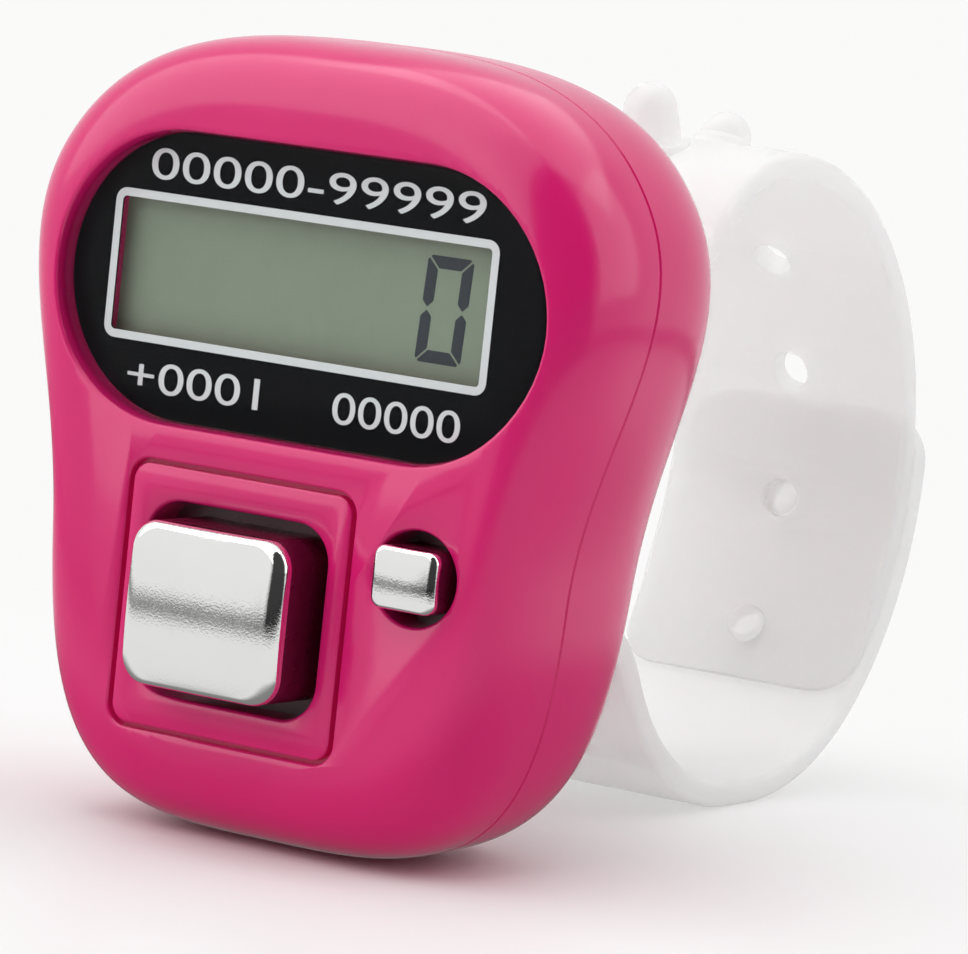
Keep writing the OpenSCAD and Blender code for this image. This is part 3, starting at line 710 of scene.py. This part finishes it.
class COUNTER_OT_rear_shell(CounterOperator, bpy.types.Operator):
    """Deep rear shell with its strap lugs, screw wells and battery bay"""
    bl_idname = "counter.rear_shell"
    bl_label = "Rear Shell"

    lip_thickness, lip_height, lip_clear = 0.7 * MM, 1 * MM, 0.1 * MM
    bay_wall, bay_skin, cell_clear = 0.8 * MM, 0.1 * MM, 0.15 * MM
    bay_floor_depth, contact_room, screw_tip_floor = 0.6 * MM, 0.28 * MM, 0.6 * MM
    door_clear, door_lip, well_lip = 0.1 * MM, 0.12 * MM, 0.15 * MM
    lug_radius, lug_thickness, lug_skin, pin_hole = 1.35 * MM, 2.3 * MM, 0.65 * MM, 0.95 * MM
    lug_edge, lug_steps = 0.3 * MM, 24

    def build(self):
        body = settings().body
        bevel, far, wall = body.seam_bevel, body.rear_depth, body.wall
        outer, inner = wall + self.lip_clear, wall + self.lip_clear + self.lip_thickness
        lead = [(outer, -self.lip_height), (outer, 0.0), (bevel, 0.0)]
        shell = to_object("rear_shell_skin", domed(BACK, far - bevel, 0.0, bevel, lead),
                          bpy.data.materials["moulded_pink_plastic"])
        lead = [(inner, -self.lip_height - OVERRUN), (inner, self.lip_height)]
        cavity = tool(domed(BACK, far - wall, wall, 0.0, lead, lowest=self.lip_height))
        cell = disc(CELL.x, CELL.z, CELL.width / 2 + self.cell_clear)
        door = DOOR.rounded(DOOR_CORNER)
        bay_floor = CELL.front - self.contact_room
        bay_front = bay_floor - self.bay_floor_depth
        boolean(cavity, [prism(disc(x, z, SCREW_BOSS), BOARD.back, far)
                         for x, z in screw_places()]
                + [prism(cell.grown(self.bay_wall), bay_front, far),
                   prism(door.grown(self.bay_wall), DOOR.front - self.bay_wall, far),
                   prism(disc(DOOR_SCREW.x, DOOR.z, SCREW_BOSS), bay_front, far)])
        boolean(shell, [self.lug(side, z) for side in (-1, 1) for z in (PIN.z, LOWER_PIN.z)],
                "UNION")
        cutters = [
            cavity,
            opening(BACK, door.grown(self.door_clear), DOOR.front, self.door_lip),
            prism(cell, bay_floor, far - self.bay_skin),
            prism(disc(DOOR_SCREW.x, DOOR.z, SCREW_PILOT), bay_front + self.screw_tip_floor,
                  far - self.bay_skin)]
        for x, z in screw_places():
            cutters += [opening(BACK, disc(x, z, SCREW_WELL), far - wall, self.well_lip),
                        prism(disc(x, z, SCREW_SHANK), BOARD.back - OVERRUN, far - wall / 2)]
        boolean(shell, cutters)
        place(shell, "housing", "pink_shell", "rear_shell")

    def lug(self, side, z):
        """Lug with a round end and softened edges, and the blind hole for the pin's end."""
        body = settings().body
        radius, thickness = self.lug_radius, self.lug_thickness
        root = body.rear_depth - body.wall / 2
        inner_x = side * (PIN.high.x + self.lug_skin - thickness)
        profile = [(inner_x, root, z + radius), (inner_x, root, z - radius)]
        profile += [(inner_x, PIN.y + radius * math.sin(a), z - radius * math.cos(a))
                    for a in (math.pi * k / self.lug_steps for k in range(self.lug_steps + 1))]
        bm = bmesh.new()
        extrude(bm, profile, (side * thickness, 0, 0))
        soften(bm, 0, self.lug_edge, clamped=True)
        hole = rod(self.pin_hole, 2 * thickness, (side * (PIN.high.x - thickness), PIN.y, z), 48)
        return boolean(tool(bm), [hole])


class COUNTER_OT_battery_door(CounterOperator, bpy.types.Operator):
    """Battery door with softened edges and the countersink for its screw"""
    bl_idname = "counter.battery_door"
    bl_label = "Battery Door"

    edge = 0.15 * MM

    def build(self):
        door = to_object("battery_door_skin", soft_plate(
            DOOR.rounded(DOOR_CORNER), DOOR.front, DOOR.back, self.edge),
            bpy.data.materials["moulded_pink_plastic"])
        boolean(door, [prism(disc(DOOR_SCREW.x, DOOR.z, SCREW_SHANK), DOOR.front - OVERRUN,
                             DOOR.back),
                       prism(disc(DOOR_SCREW.x, DOOR.z, SCREW_WELL), DOOR.y,
                             DOOR.back + OVERRUN)])
        place(door, "housing", "pink_shell", "battery_door")


class COUNTER_OT_display(CounterOperator, bpy.types.Operator):
    """Clear lens, the line and numbers printed under it and the dark digit behind it"""
    bl_idname = "counter.display"
    bl_label = "Display"

    # Name, words, place to the right of the window's middle and above it, and width in mm
    numbers = (("print_number_range", "00000-99999", 0.5, 4.58, 20.5),
               ("print_number_count", "+0001", -5.6, -6.46, 8.3),
               ("print_number_reset", "00000", 6.7, -6.46, 7.7))
    # Height of a figure in the built-in font of size 1
    figure_share = 0.729
    lens_edge, line_corner = 0.18 * MM, 0.25 * MM
    digit_x, digit_rise, digit_thickness = 7.84 * MM, 0.22 * MM, 0.02 * MM

    def build(self):
        shape = LENS.rounded(LENS.height / 2)
        lens = to_object("display_lens_skin", soft_plate(
            shape, LENS.back - PRINT_GAP, LENS.front, self.lens_edge), lens_material())
        place(lens, "housing", "clear_lens", "display_lens")
        film = to_object("print_mask", plate(shape, MASK.front, MASK.back), surface_material(
            "black_print_film", (0.003, 0.003, 0.004), 0.3, vary=0.05,
            **{"Specular IOR Level": 0.0}))
        boolean(film, [prism(window(WINDOW_CORNER), MASK.front - OVERRUN, MASK.back + OVERRUN)])
        place(film, "housing", "black_print", "lens_mask")
        ink = surface_material("print_ink", settings().finish.print_white, 0.45, vary=0.03,
                               bump_noise=(6000, 2.0))
        line, near = settings().display.frame_line, LENS.back - 0.7 * PRINT_GAP
        rings = [window(self.line_corner).grown(grow).ring(y) for grow, y in (
            (0, near), (line, near), (line, LENS.back), (0, LENS.back))]
        place(to_object("print_frame_line", loft(rings, joined=True), ink), "housing",
              "black_print")
        for name, words, side, rise, width in self.numbers:
            self.number(name, words, side * MM, rise * MM, width * MM, ink)
        self.digit()

    def number(self, name, words, side, rise, width, ink):
        """Printed numbers: a text that is made a thin mesh just under the lens."""
        text = bpy.data.curves.new(name, "FONT")
        text.body = words
        text.align_x = "CENTER"
        text.size = settings().display.number_height / self.figure_share
        text.extrude = 0.3 * PRINT_GAP
        source = new_object(name, text)
        bpy.context.view_layer.update()
        mesh = evaluated_mesh(source)
        bpy.data.objects.remove(source)
        reach = [v.co.x for v in mesh.vertices]
        fit = Matrix.Diagonal((width / (max(reach) - min(reach)), 1, 1, 1))
        middle = window(0)
        seat = Matrix.Translation((middle.x + side, LENS.back - 0.4 * PRINT_GAP, middle.z + rise))
        mesh.transform(STAND @ seat @ Matrix.Rotation(QUARTER, 4, "X") @ fit)
        mesh.materials.clear()
        mesh.materials.append(ink)
        place(new_object(name, mesh), "housing", "black_print")

    def digit(self):
        """A nought of six segments with mitred ends."""
        display = settings().display
        half_w, half_h = display.digit_width / 2, display.digit_height / 2
        line = display.segment
        x, z, thickness = self.digit_x, LENS.z + self.digit_rise, self.digit_thickness
        slant, gap, blunt = 0.045, 0.08 * MM, 0.16 * MM
        level = [(half_w - gap - blunt, half_h), (half_w - gap - blunt / 2, half_h - blunt / 2),
                 (half_w - gap - line, half_h - line)]
        level += [(-p, q) for p, q in reversed(level)]
        post = [(half_w, half_h - gap - blunt), (half_w, gap + line / 2),
                (half_w - line / 2, gap), (half_w - line, gap + line / 2),
                (half_w - line, half_h - gap - line),
                (half_w - blunt / 2, half_h - gap - blunt / 2)]
        bars = [[(p, t * q) for p, q in level] for t in (-1, 1)]
        bars += [[(r * p, t * q) for p, q in post] for r in (-1, 1) for t in (-1, 1)]
        bm = bmesh.new()
        for bar in bars:
            extrude(bm, [(x + p + slant * q, FILM.front - thickness, z + q) for p, q in bar],
                    (0, thickness, 0))
        dark = surface_material("display_segments", settings().finish.segments, 0.4, vary=0.1)
        place(to_object("display_digit", bm, dark), "housing", "display_film")


class COUNTER_OT_keys(CounterOperator, bpy.types.Operator):
    """Chrome count key and reset key, each with a crowned face and rounded edges"""
    bl_idname = "counter.keys"
    bl_label = "Keys"

    face_steps, edge_steps, skirt_drop = 14, 8, 0.2 * MM
    count_corner, count_edge, count_flange_corner = 1.5 * MM, (0.85 * MM, 0.35 * MM), 2.6 * MM
    reset_corner, reset_edge = 0.6 * MM, (0.42 * MM, 0.2 * MM)

    def build(self):
        keys = settings().keys
        # The keys' second material is painted shade: a dark plum on the sides and flange in place
        # of the dark reflection and shaded gap round each key.
        chrome_and_painted_shade = (chrome_material(), surface_material(
            "key_side_painted_shade", (0.10, 0.002, 0.022), 0.3, bump=0.01))
        count = Rounded(COUNT.x, COUNT.z, keys.count_width, keys.count_height, self.count_corner)
        reset = Rounded(RESET.x, RESET.z, keys.reset_width, keys.reset_height, self.reset_corner)
        self.key("count_key_cap", "count_key", "count_button", chrome_and_painted_shade, keys.crown, count,
                 self.count_edge, COUNT, self.count_flange_corner)
        self.key("reset_key_cap", "reset_key", "reset_button", chrome_and_painted_shade, keys.crown / 3, reset,
                 self.reset_edge, RESET, RESET.width / 2)

    def key(self, name, body, cad_node, chrome_and_painted_shade, crown, cap, edge, box, flange_corner):
        """Plated cap with an evenly bulged face and rolled edges, on a skirt and flange with a
        painted shade: a dark plum that stands in for the shaded opening that the plating mirrors.
        The edge's roll has one reach across the key and another along its height."""
        edge_x, edge_z = edge
        corner = cap.radius - edge_z
        width, height = cap.width - 2 * edge_x, cap.height - 2 * edge_z
        reach = (width / 2) ** 2 + (height / 2) ** 2
        rim = rounded_rectangle(width, height, corner)

        def bulged(points, inner, sink):
            return [Vector((cap.x + x, box.front + crown * (p ** 2 + q ** 2) / reach + sink,
                            cap.z + z)) for (x, z), (p, q) in zip(points, inner)]

        rings = []
        for t in (k / self.face_steps for k in range(1, self.face_steps)):
            points = rounded_rectangle(width * t, height * t, corner * t)
            rings.append(bulged(points, points, 0))
        for grow, sink in rolled(1, 0, -1, (edge_x + edge_z) / 2, self.edge_steps):
            rings.append(bulged(rounded_rectangle(width + 2 * edge_x * grow,
                                                  height + 2 * edge_z * grow,
                                                  corner + edge_z * grow), rim, sink))
        painted_shade_start = max(v.y for v in rings[-1]) + self.skirt_drop
        flange, flange_front = box.rounded(flange_corner), box.back - settings().keys.flange
        rings += [cap.ring(painted_shade_start), cap.ring(flange_front), flange.ring(flange_front),
                  flange.ring(box.back)]
        made = to_object(name, loft(rings), chrome_and_painted_shade[0])
        made.data.materials.append(chrome_and_painted_shade[1])
        # Faces behind the roll, the sides and the flange, get the painted shade.
        for face in made.data.polygons:
            if (UPRIGHT @ face.center).y > painted_shade_start:
                face.material_index = 1
        place(made, body, "plated_key", cad_node)


ARC_STEPS = 30


def arc(y, z, radius, start, end, turned=0.0):
    """Points along an arc in the side view, each with the angle of its outward normal."""
    return [(y + radius * math.cos(a), z + radius * math.sin(a), a + turned)
            for a in (start + (end - start) * k / ARC_STEPS for k in range(ARC_STEPS + 1))]


def join(*stretches):
    """One path from stretches, with the points where they meet kept once."""
    path = list(stretches[0])
    for stretch in stretches[1:]:
        path += [p for i, p in enumerate(stretch)
                 if i or math.dist(p[:2], path[-1][:2]) > SAME_PLACE]
    return path


class COUNTER_OT_strap(CounterOperator, bpy.types.Operator):
    """Two silicone straps: the upper with holes and studs, the lower plugged into it"""
    bl_idname = "counter.strap"
    bl_label = "Strap"

    # Degrees round the loop, upwards from straight back
    first_hole, hole_pitch, first_stud = 42.2, 25.9, 73.8
    upper_end, lap_start, lap_end = (math.radians(a) for a in (-48.0, -40.0, 8.5))
    # Radius of each bend as a share of what it has to turn in
    top_bend_share, lap_bend_share, bottom_bend_share = 0.655, 0.8115, 0.628
    upper_sweep, lower_sweep = math.radians(55), math.radians(60)
    section_steps, end_radius, end_steps, end_thinned = 4, 2.6 * MM, 12, 0.85
    eye_clear, stud_heights = 0.05 * MM, (2.3 * MM, 3.3 * MM)
    plug_grip, plug_short = 0.02 * MM, 0.3 * MM

    def build(self):
        strap = settings().strap
        silicone = silicone_material()
        self.radius, self.depth, self.drop = strap.loop_radius, strap.loop_depth, strap.loop_drop
        self.thickness, self.edge = strap.thickness, strap.edge
        self.layer = strap.thickness + strap.layer_gap
        self.eye_radius = PIN.height / 2 + self.eye_clear
        self.lap_radius = self.radius + self.layer
        self.lap_bend = self.lap_bend_share * self.lap_radius
        short = self.lap_radius - self.lap_bend
        self.lap_middle = (self.depth + short * math.cos(self.lap_start),
                           -self.drop + short * math.sin(self.lap_start))
        upper = to_object("strap_upper_band", self.band(self.upper_path(), self.end_thinned),
                          silicone)
        boolean(upper, [self.eye(PIN)] + [self.stud(self.first_stud + i * self.hole_pitch, height)
                                          for i, height in enumerate(self.stud_heights)], "UNION")
        boolean(upper, [self.eye_bore(PIN)] + [self.hole(i) for i in range(4)])
        place(upper, "housing", "milky_silicone", "strap_upper")
        lower = to_object("strap_lower_band", self.band(self.lower_path(), 0.0), silicone)
        boolean(lower, [self.eye(LOWER_PIN)] + [self.plug(i) for i in (2, 3)], "UNION")
        boolean(lower, [self.eye_bore(LOWER_PIN)])
        place(lower, "housing", "milky_silicone", "strap_lower")

    def upper_path(self):
        """Middle line of the upper strap: out of its eye, over a shoulder and down the loop."""
        start_z = PIN.z + self.eye_radius + self.thickness / 2
        top, sweep = self.radius - self.drop, self.upper_sweep
        radii = (top - start_z) / (1 - math.cos(sweep))
        bend = self.top_bend_share * radii
        lead = radii - bend
        return join(
            [(PIN.y, start_z, QUARTER)],
            arc(self.depth - radii * math.sin(sweep), start_z + lead, lead, -QUARTER,
                sweep - QUARTER, math.pi),
            arc(self.depth, top - bend, bend, QUARTER + sweep, QUARTER),
            arc(self.depth, -self.drop, self.radius, QUARTER, self.lap_start),
            arc(*self.lap_middle, self.lap_bend - self.layer, self.lap_start, self.upper_end))

    def lower_path(self):
        """Middle line of the lower strap: out of its eye, round the bottom and up outside."""
        start_z = LOWER_PIN.z - self.eye_radius - self.thickness / 2
        bottom, sweep = self.lap_middle[1] - self.lap_bend, self.lower_sweep
        radii = (start_z - bottom) / (1 - math.cos(sweep))
        bend = self.bottom_bend_share * radii
        lead = radii - bend
        lead_y = PIN.y + self.thickness / 10
        return join(
            [(PIN.y, start_z, -QUARTER)],
            arc(lead_y, start_z - lead, lead, QUARTER, QUARTER - sweep, math.pi),
            arc(lead_y + radii * math.sin(sweep), bottom + bend, bend, -QUARTER - sweep,
                -QUARTER),
            arc(*self.lap_middle, self.lap_bend, -QUARTER, self.lap_start),
            arc(self.depth, -self.drop, self.lap_radius, self.lap_start, self.lap_end))

    def band(self, path, thinned):
        """Band swept along its middle line, with round edges and a rounded free end, where
        its inner face may thin out."""
        width = settings().strap.width
        lengths = [0.0]
        for first, second in zip(path, path[1:]):
            lengths.append(lengths[-1] + math.dist(first[:2], second[:2]))
        total = lengths[-1]
        stops = [(point, run, 0.0) for point, run in zip(path, lengths)
                 if run < total - self.end_radius]
        for run, draw_in in rolled(total, 0, -self.end_radius, self.end_radius, self.end_steps):
            i = next((i for i in range(len(lengths) - 1) if lengths[i + 1] >= run),
                     len(lengths) - 2)
            along = (run - lengths[i]) / (lengths[i + 1] - lengths[i])
            stops.append((between(path[i], path[i + 1], along), run, draw_in))
        rings = []
        for (y, z, normal), run, draw_in in stops:
            lost = thinned * self.thickness * ease(1 - (total - run) / (3 * self.end_radius))
            thickness = self.thickness - lost
            out = Vector((0, math.cos(normal), math.sin(normal)))
            section = rounded_rectangle(width - 2 * draw_in, thickness,
                                        min(self.edge, thickness * 0.45), self.section_steps, 1)
            rings.append([Vector((p, y, z)) + out * (q + lost / 2) for p, q in section])
        return loft(rings)

    def eye(self, pin):
        return rod(self.eye_radius + self.thickness, settings().strap.width, (0, PIN.y, pin.z),
                   96, 0.7 * self.edge)

    def eye_bore(self, pin):
        return rod(self.eye_radius, 2 * settings().strap.width, (0, PIN.y, pin.z), 64)

    def spun(self, profile, degrees):
        """Solid of revolution about the loop's radius at an angle."""
        bm = bmesh.new()
        verts = [bm.verts.new((r, 0, h)) for r, h in profile]
        edges = [bm.edges.new(pair) for pair in zip(verts, verts[1:])]
        bmesh.ops.spin(bm, geom=verts + edges, cent=(0, 0, 0), axis=(0, 0, 1),
                       angle=math.tau, steps=48, use_merge=True)
        bmesh.ops.remove_doubles(bm, verts=bm.verts, dist=0.001 * MM)
        bmesh.ops.transform(bm, verts=bm.verts, matrix=(
            Matrix.Translation((0, self.depth, -self.drop))
            @ Matrix.Rotation(math.radians(degrees - 90), 4, "X")))
        return tool(bm)

    def stud(self, degrees, height):
        """Tapered stud with a round tip and a small fillet at its foot."""
        base, tip, fillet = 1.75 * MM, 1.5 * MM, 0.5 * MM
        foot = self.radius + self.thickness / 2
        top = foot + height
        return self.spun([(0, self.radius), (base + fillet, self.radius),
                          *rolled(base, foot, fillet, fillet, 6),
                          *reversed(rolled(tip, top, -tip, -tip, 8))], degrees)

    def hole(self, index):
        """Cutter for a hole of the upper strap, with both its edges rounded."""
        radius, lip = settings().strap.hole_radius, 0.18 * MM
        inner, outer = self.radius - self.thickness / 2, self.radius + self.thickness / 2
        wide = radius + 2 * lip
        return self.spun([(0, inner - MM), (wide, inner - MM), (wide, inner - lip / 2),
                          *rolled(radius, inner, lip, lip, 4)[1:],
                          *reversed(rolled(radius, outer, lip, -lip, 4)[1:]),
                          (wide, outer + lip / 2), (wide, outer + MM), (0, outer + MM)],
                         self.first_hole - index * self.hole_pitch)

    def plug(self, index):
        """Plug of the lower strap that sits in a hole of the upper one."""
        radius, soft = settings().strap.hole_radius + self.plug_grip, 0.25 * MM
        low = self.radius - self.thickness / 2 + self.plug_short
        return self.spun([(0, low), *rolled(radius, low, -soft, soft, 5),
                          (radius, self.lap_radius), (0, self.lap_radius)],
                         self.first_hole - index * self.hole_pitch)


class COUNTER_OT_carried_finishes(CounterOperator, bpy.types.Operator):
    """Finishes of the pieces whose CAD shape is kept: film, glass, board, cell and screws"""
    bl_idname = "counter.carried_finishes"
    bl_label = "Inner Pieces"

    def build(self):
        # lcd_rear_glass, reset_switch_stem, case_screws and strap_pin_lower keep the materials they
        # bring from model.glb
        plain = surface_material
        for material, *names in (
                (display_material(), "lcd_front_polarizer"),
                (plain("display_glass", (0.45, 0.50, 0.45), 0.08), "lcd_front_glass"),
                (plain("reflector_foil", (0.55, 0.56, 0.53), 0.35, 0.6), "lcd_reflector"),
                (plain("black_moulding", (0.03, 0.03, 0.033), 0.5, bump=0.15),
                 "lcd_holder", "count_switch_case", "reset_switch_case"),
                (plain("connector_rubber", (0.60, 0.25, 0.34), 0.6), "elastomer_connector"),
                (plain("board_green", (0.02, 0.14, 0.06), 0.4, bump=0.15), "circuit_board"),
                (plain("black_resin", (0.012, 0.012, 0.012), 0.3, bump=0.2), "chip_blob"),
                (plain("component_ceramic", (0.35, 0.24, 0.12), 0.5), "board_components"),
                (plain("switch_plastic", (0.6, 0.56, 0.45), 0.45), "count_switch_stem"),
                (plain("cell_steel", (0.62, 0.62, 0.60), 0.3, 1.0, bump=0.08), "battery_cell"),
                (plain("contact_brass", (0.68, 0.5, 0.2), 0.3, 1.0),
                 "battery_contact_positive", "battery_contact_negative"),
                (plain("screw_steel", (0.5, 0.5, 0.52), 0.28, 1.0, bump=0.1),
                 "battery_door_screw"),
                (plain("pin_steel", (0.6, 0.6, 0.62), 0.22, 1.0), "strap_pin_upper")):
            for name in names:
                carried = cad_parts[name].data.materials
                carried.clear()
                carried.append(material)


class COUNTER_OT_stage(CounterOperator, bpy.types.Operator):
    """Pale floor, soft lamps, sky and the camera"""
    bl_idname = "counter.stage"
    bl_label = "Stage"

    backdrop = {"Color": (1, 0.998, 0.995, 1), "Strength": 0.955}
    # Distance on the floor in metres and grey level there, as the plating mirrors it. The dark grey
    # near the foot is a painted shadow of the counter that only the gloss sees.
    mirrored_floor_painted_shadow = ((0.0, 0.15), (0.040, 0.25), (0.060, 0.80), (0.100, 0.82), (0.111, 0.24),
                      (0.135, 0.24), (0.148, 0.84), (1.0, 0.86))

    def build(self):
        self.camera()
        self.floor()
        self.sky()
        self.lamps()
        bpy.context.scene.view_settings.view_transform = "Standard"

    def ahead(self, rise):
        """Direction from the counter to the side that its display is seen from."""
        azimuth = settings().stage.azimuth
        return math.sin(azimuth), -math.cos(azimuth), rise

    def camera(self):
        stage = settings().stage
        aim = Vector((-1.631, -4.0, 18.093)) * MM
        level = math.cos(stage.elevation)
        x, y, _ = self.ahead(0)
        back = Vector((x * level, y * level, math.sin(stage.elevation)))
        data = bpy.data.cameras.new("camera")
        data.lens = stage.focal_length
        data.sensor_width = 36
        data.clip_start, data.clip_end = 0.01, 50
        camera = new_object("camera", data)
        camera.rotation_mode = "QUATERNION"
        camera.location = aim + back * stage.distance
        camera.rotation_quaternion = ((-back).to_track_quat("-Z", "Y")
                                      @ Quaternion((0, 0, 1), stage.roll))
        bpy.context.scene.camera = camera

    def floor(self):
        """White for the camera away from the counter's foot, with its shadow near the foot.
        The plating mirrors a pale floor with a painted shadow round the foot, a dark ring further
        out and a dark strip in front."""
        bm = bmesh.new()
        bmesh.ops.create_grid(bm, x_segments=2, y_segments=2,
                              size=settings().stage.floor_size / 2)
        floor = mesh_object("floor", bm)
        material, tree, shader = new_material("pale_floor")
        feed(tree, shader, {"Base Color": (0.86, 0.86, 0.86, 1), "Roughness": 0.45,
                            "Specular IOR Level": 0.3})
        spot = object_place(tree)
        from_foot = node(tree, "VectorMath", {0: node(tree, "Mapping", {
            "Vector": spot, "Location": (5 * MM, 27 * MM, 0)})}, "Value", operation="LENGTH")
        white = math_node(tree, "MULTIPLY", seen_directly(tree),
                          span(tree, from_foot, 0.0, 1.0, 0.014, 0.085))
        seen = mix_shader(tree, white, shader.outputs["BSDF"],
                          node(tree, "Emission", self.backdrop))
        distance = node(tree, "VectorMath", {0: spot}, "Value", operation="LENGTH")
        toward = node(tree, "VectorMath", {
            0: node(tree, "VectorMath", {0: spot}, operation="NORMALIZE"), 1: self.ahead(0)},
            "Value", operation="DOT_PRODUCT")
        strip = math_node(tree, "MULTIPLY", span(tree, toward, 0, 1, 0.62, 0.74),
                          span(tree, distance, 0, 1, 0.108, 0.122))
        # The gloss sees these grey levels, with the painted shadow round the foot.
        grey = node(tree, "ValToRGB", {"Fac": distance}, "Color")
        self.fill(grey.node.color_ramp.elements, self.mirrored_floor_painted_shadow)
        mirrored = node(tree, "Emission", {
            "Color": grey, "Strength": span(tree, strip, 1.0, 0.05, 0.0, 1.0)})
        feed(tree, tree.nodes["Material Output"], {
            "Surface": mix_shader(tree, ray(tree, "Glossy"), seen, mirrored)})
        floor.data.materials.append(material)

    def fill(self, elements, stops):
        """Grey levels of a ramp that has its first two elements."""
        elements[0].position, elements[1].position = stops[0][0], stops[-1][0]
        for position, _ in stops[1:-1]:
            elements.new(position)
        for element, (_, level) in zip(elements, stops):
            element.color = (level, level, level, 1)

    def sky(self):
        """White for the camera, pale for the gloss with a dark zone in front, soft elsewhere."""
        world = bpy.data.worlds.new("sky")
        bpy.context.scene.world = world
        world.use_nodes = True
        tree = world.node_tree
        light = feed(tree, tree.nodes["Background"], {"Strength": settings().stage.world})
        flattened = node(tree, "Mapping", {"Vector": node(tree, "TexCoord", {}, "Generated"),
                                           "Scale": (1, 1, 0.5)})
        toward = node(tree, "VectorMath", {
            0: node(tree, "VectorMath", {0: flattened}, operation="NORMALIZE"),
            1: self.ahead(0.05)}, "Value", operation="DOT_PRODUCT")
        mirrored = node(tree, "Background", {
            "Color": (1, 1, 1, 1), "Strength": span(tree, toward, 0.86, 0.05, 0.62, 0.78)})
        lit = mix_shader(tree, ray(tree, "Glossy"), light.outputs["Background"], mirrored)
        feed(tree, tree.nodes["World Output"], {"Surface": mix_shader(
            tree, seen_directly(tree), lit, node(tree, "Background", self.backdrop))})

    def lamps(self):
        for name, location, size, watts in (
                ("key_lamp", (-0.50, -0.60, 0.80), (1.8, 1.8), 17.5),
                ("top_lamp", (0.10, 0.25, 0.90), (1.3, 1.1), 6.0),
                ("side_lamp", (0.80, 0.30, 0.40), (0.9, 1.0), 3.4)):
            data = bpy.data.lights.new(name, "AREA")
            data.shape = "RECTANGLE"
            data.size, data.size_y = size
            data.energy = watts
            lamp = new_object(name, data)
            lamp.location = location
            lamp.rotation_mode = "QUATERNION"
            aim = Vector((0, 0, 20 * MM)) - lamp.location
            lamp.rotation_quaternion = aim.to_track_quat("-Z", "Y")


BUILDERS = (COUNTER_OT_front_shell, COUNTER_OT_rear_shell, COUNTER_OT_battery_door,
            COUNTER_OT_display, COUNTER_OT_keys, COUNTER_OT_strap,
            COUNTER_OT_carried_finishes, COUNTER_OT_stage)


class COUNTER_PT_panel(bpy.types.Panel):
    """Lists the counter's pieces and the settings they are made from"""
    bl_idname = "COUNTER_PT_panel"
    bl_label = "Counter"
    bl_space_type = "VIEW_3D"
    bl_region_type = "UI"
    bl_category = "Counter"

    def draw(self, context):
        for builder in BUILDERS:
            self.layout.operator(builder.bl_idname)
        for group in ("body", "display", "keys", "strap", "finish", "stage"):
            box = self.layout.box()
            box.label(text=group.title())
            chosen = getattr(settings(), group)
            for name in chosen.__annotations__:
                box.prop(chosen, name)


CLASSES = (BodySizes, DisplaySizes, KeySizes, StrapSizes, Finish, StageSettings,
           CounterSettings, *BUILDERS, COUNTER_PT_panel)


def register():
    for made in CLASSES:
        bpy.utils.register_class(made)
    bpy.types.Scene.counter = bpy.props.PointerProperty(type=CounterSettings)


def unregister():
    del bpy.types.Scene.counter
    for made in reversed(CLASSES):
        bpy.utils.unregister_class(made)


def main():
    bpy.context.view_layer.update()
    register()
    for name in ("front_shell", "rear_shell", "battery_door", "display", "keys", "strap",
                 "carried_finishes", "stage"):
        getattr(bpy.ops.counter, name)()


if __name__ == "__main__":
    main()
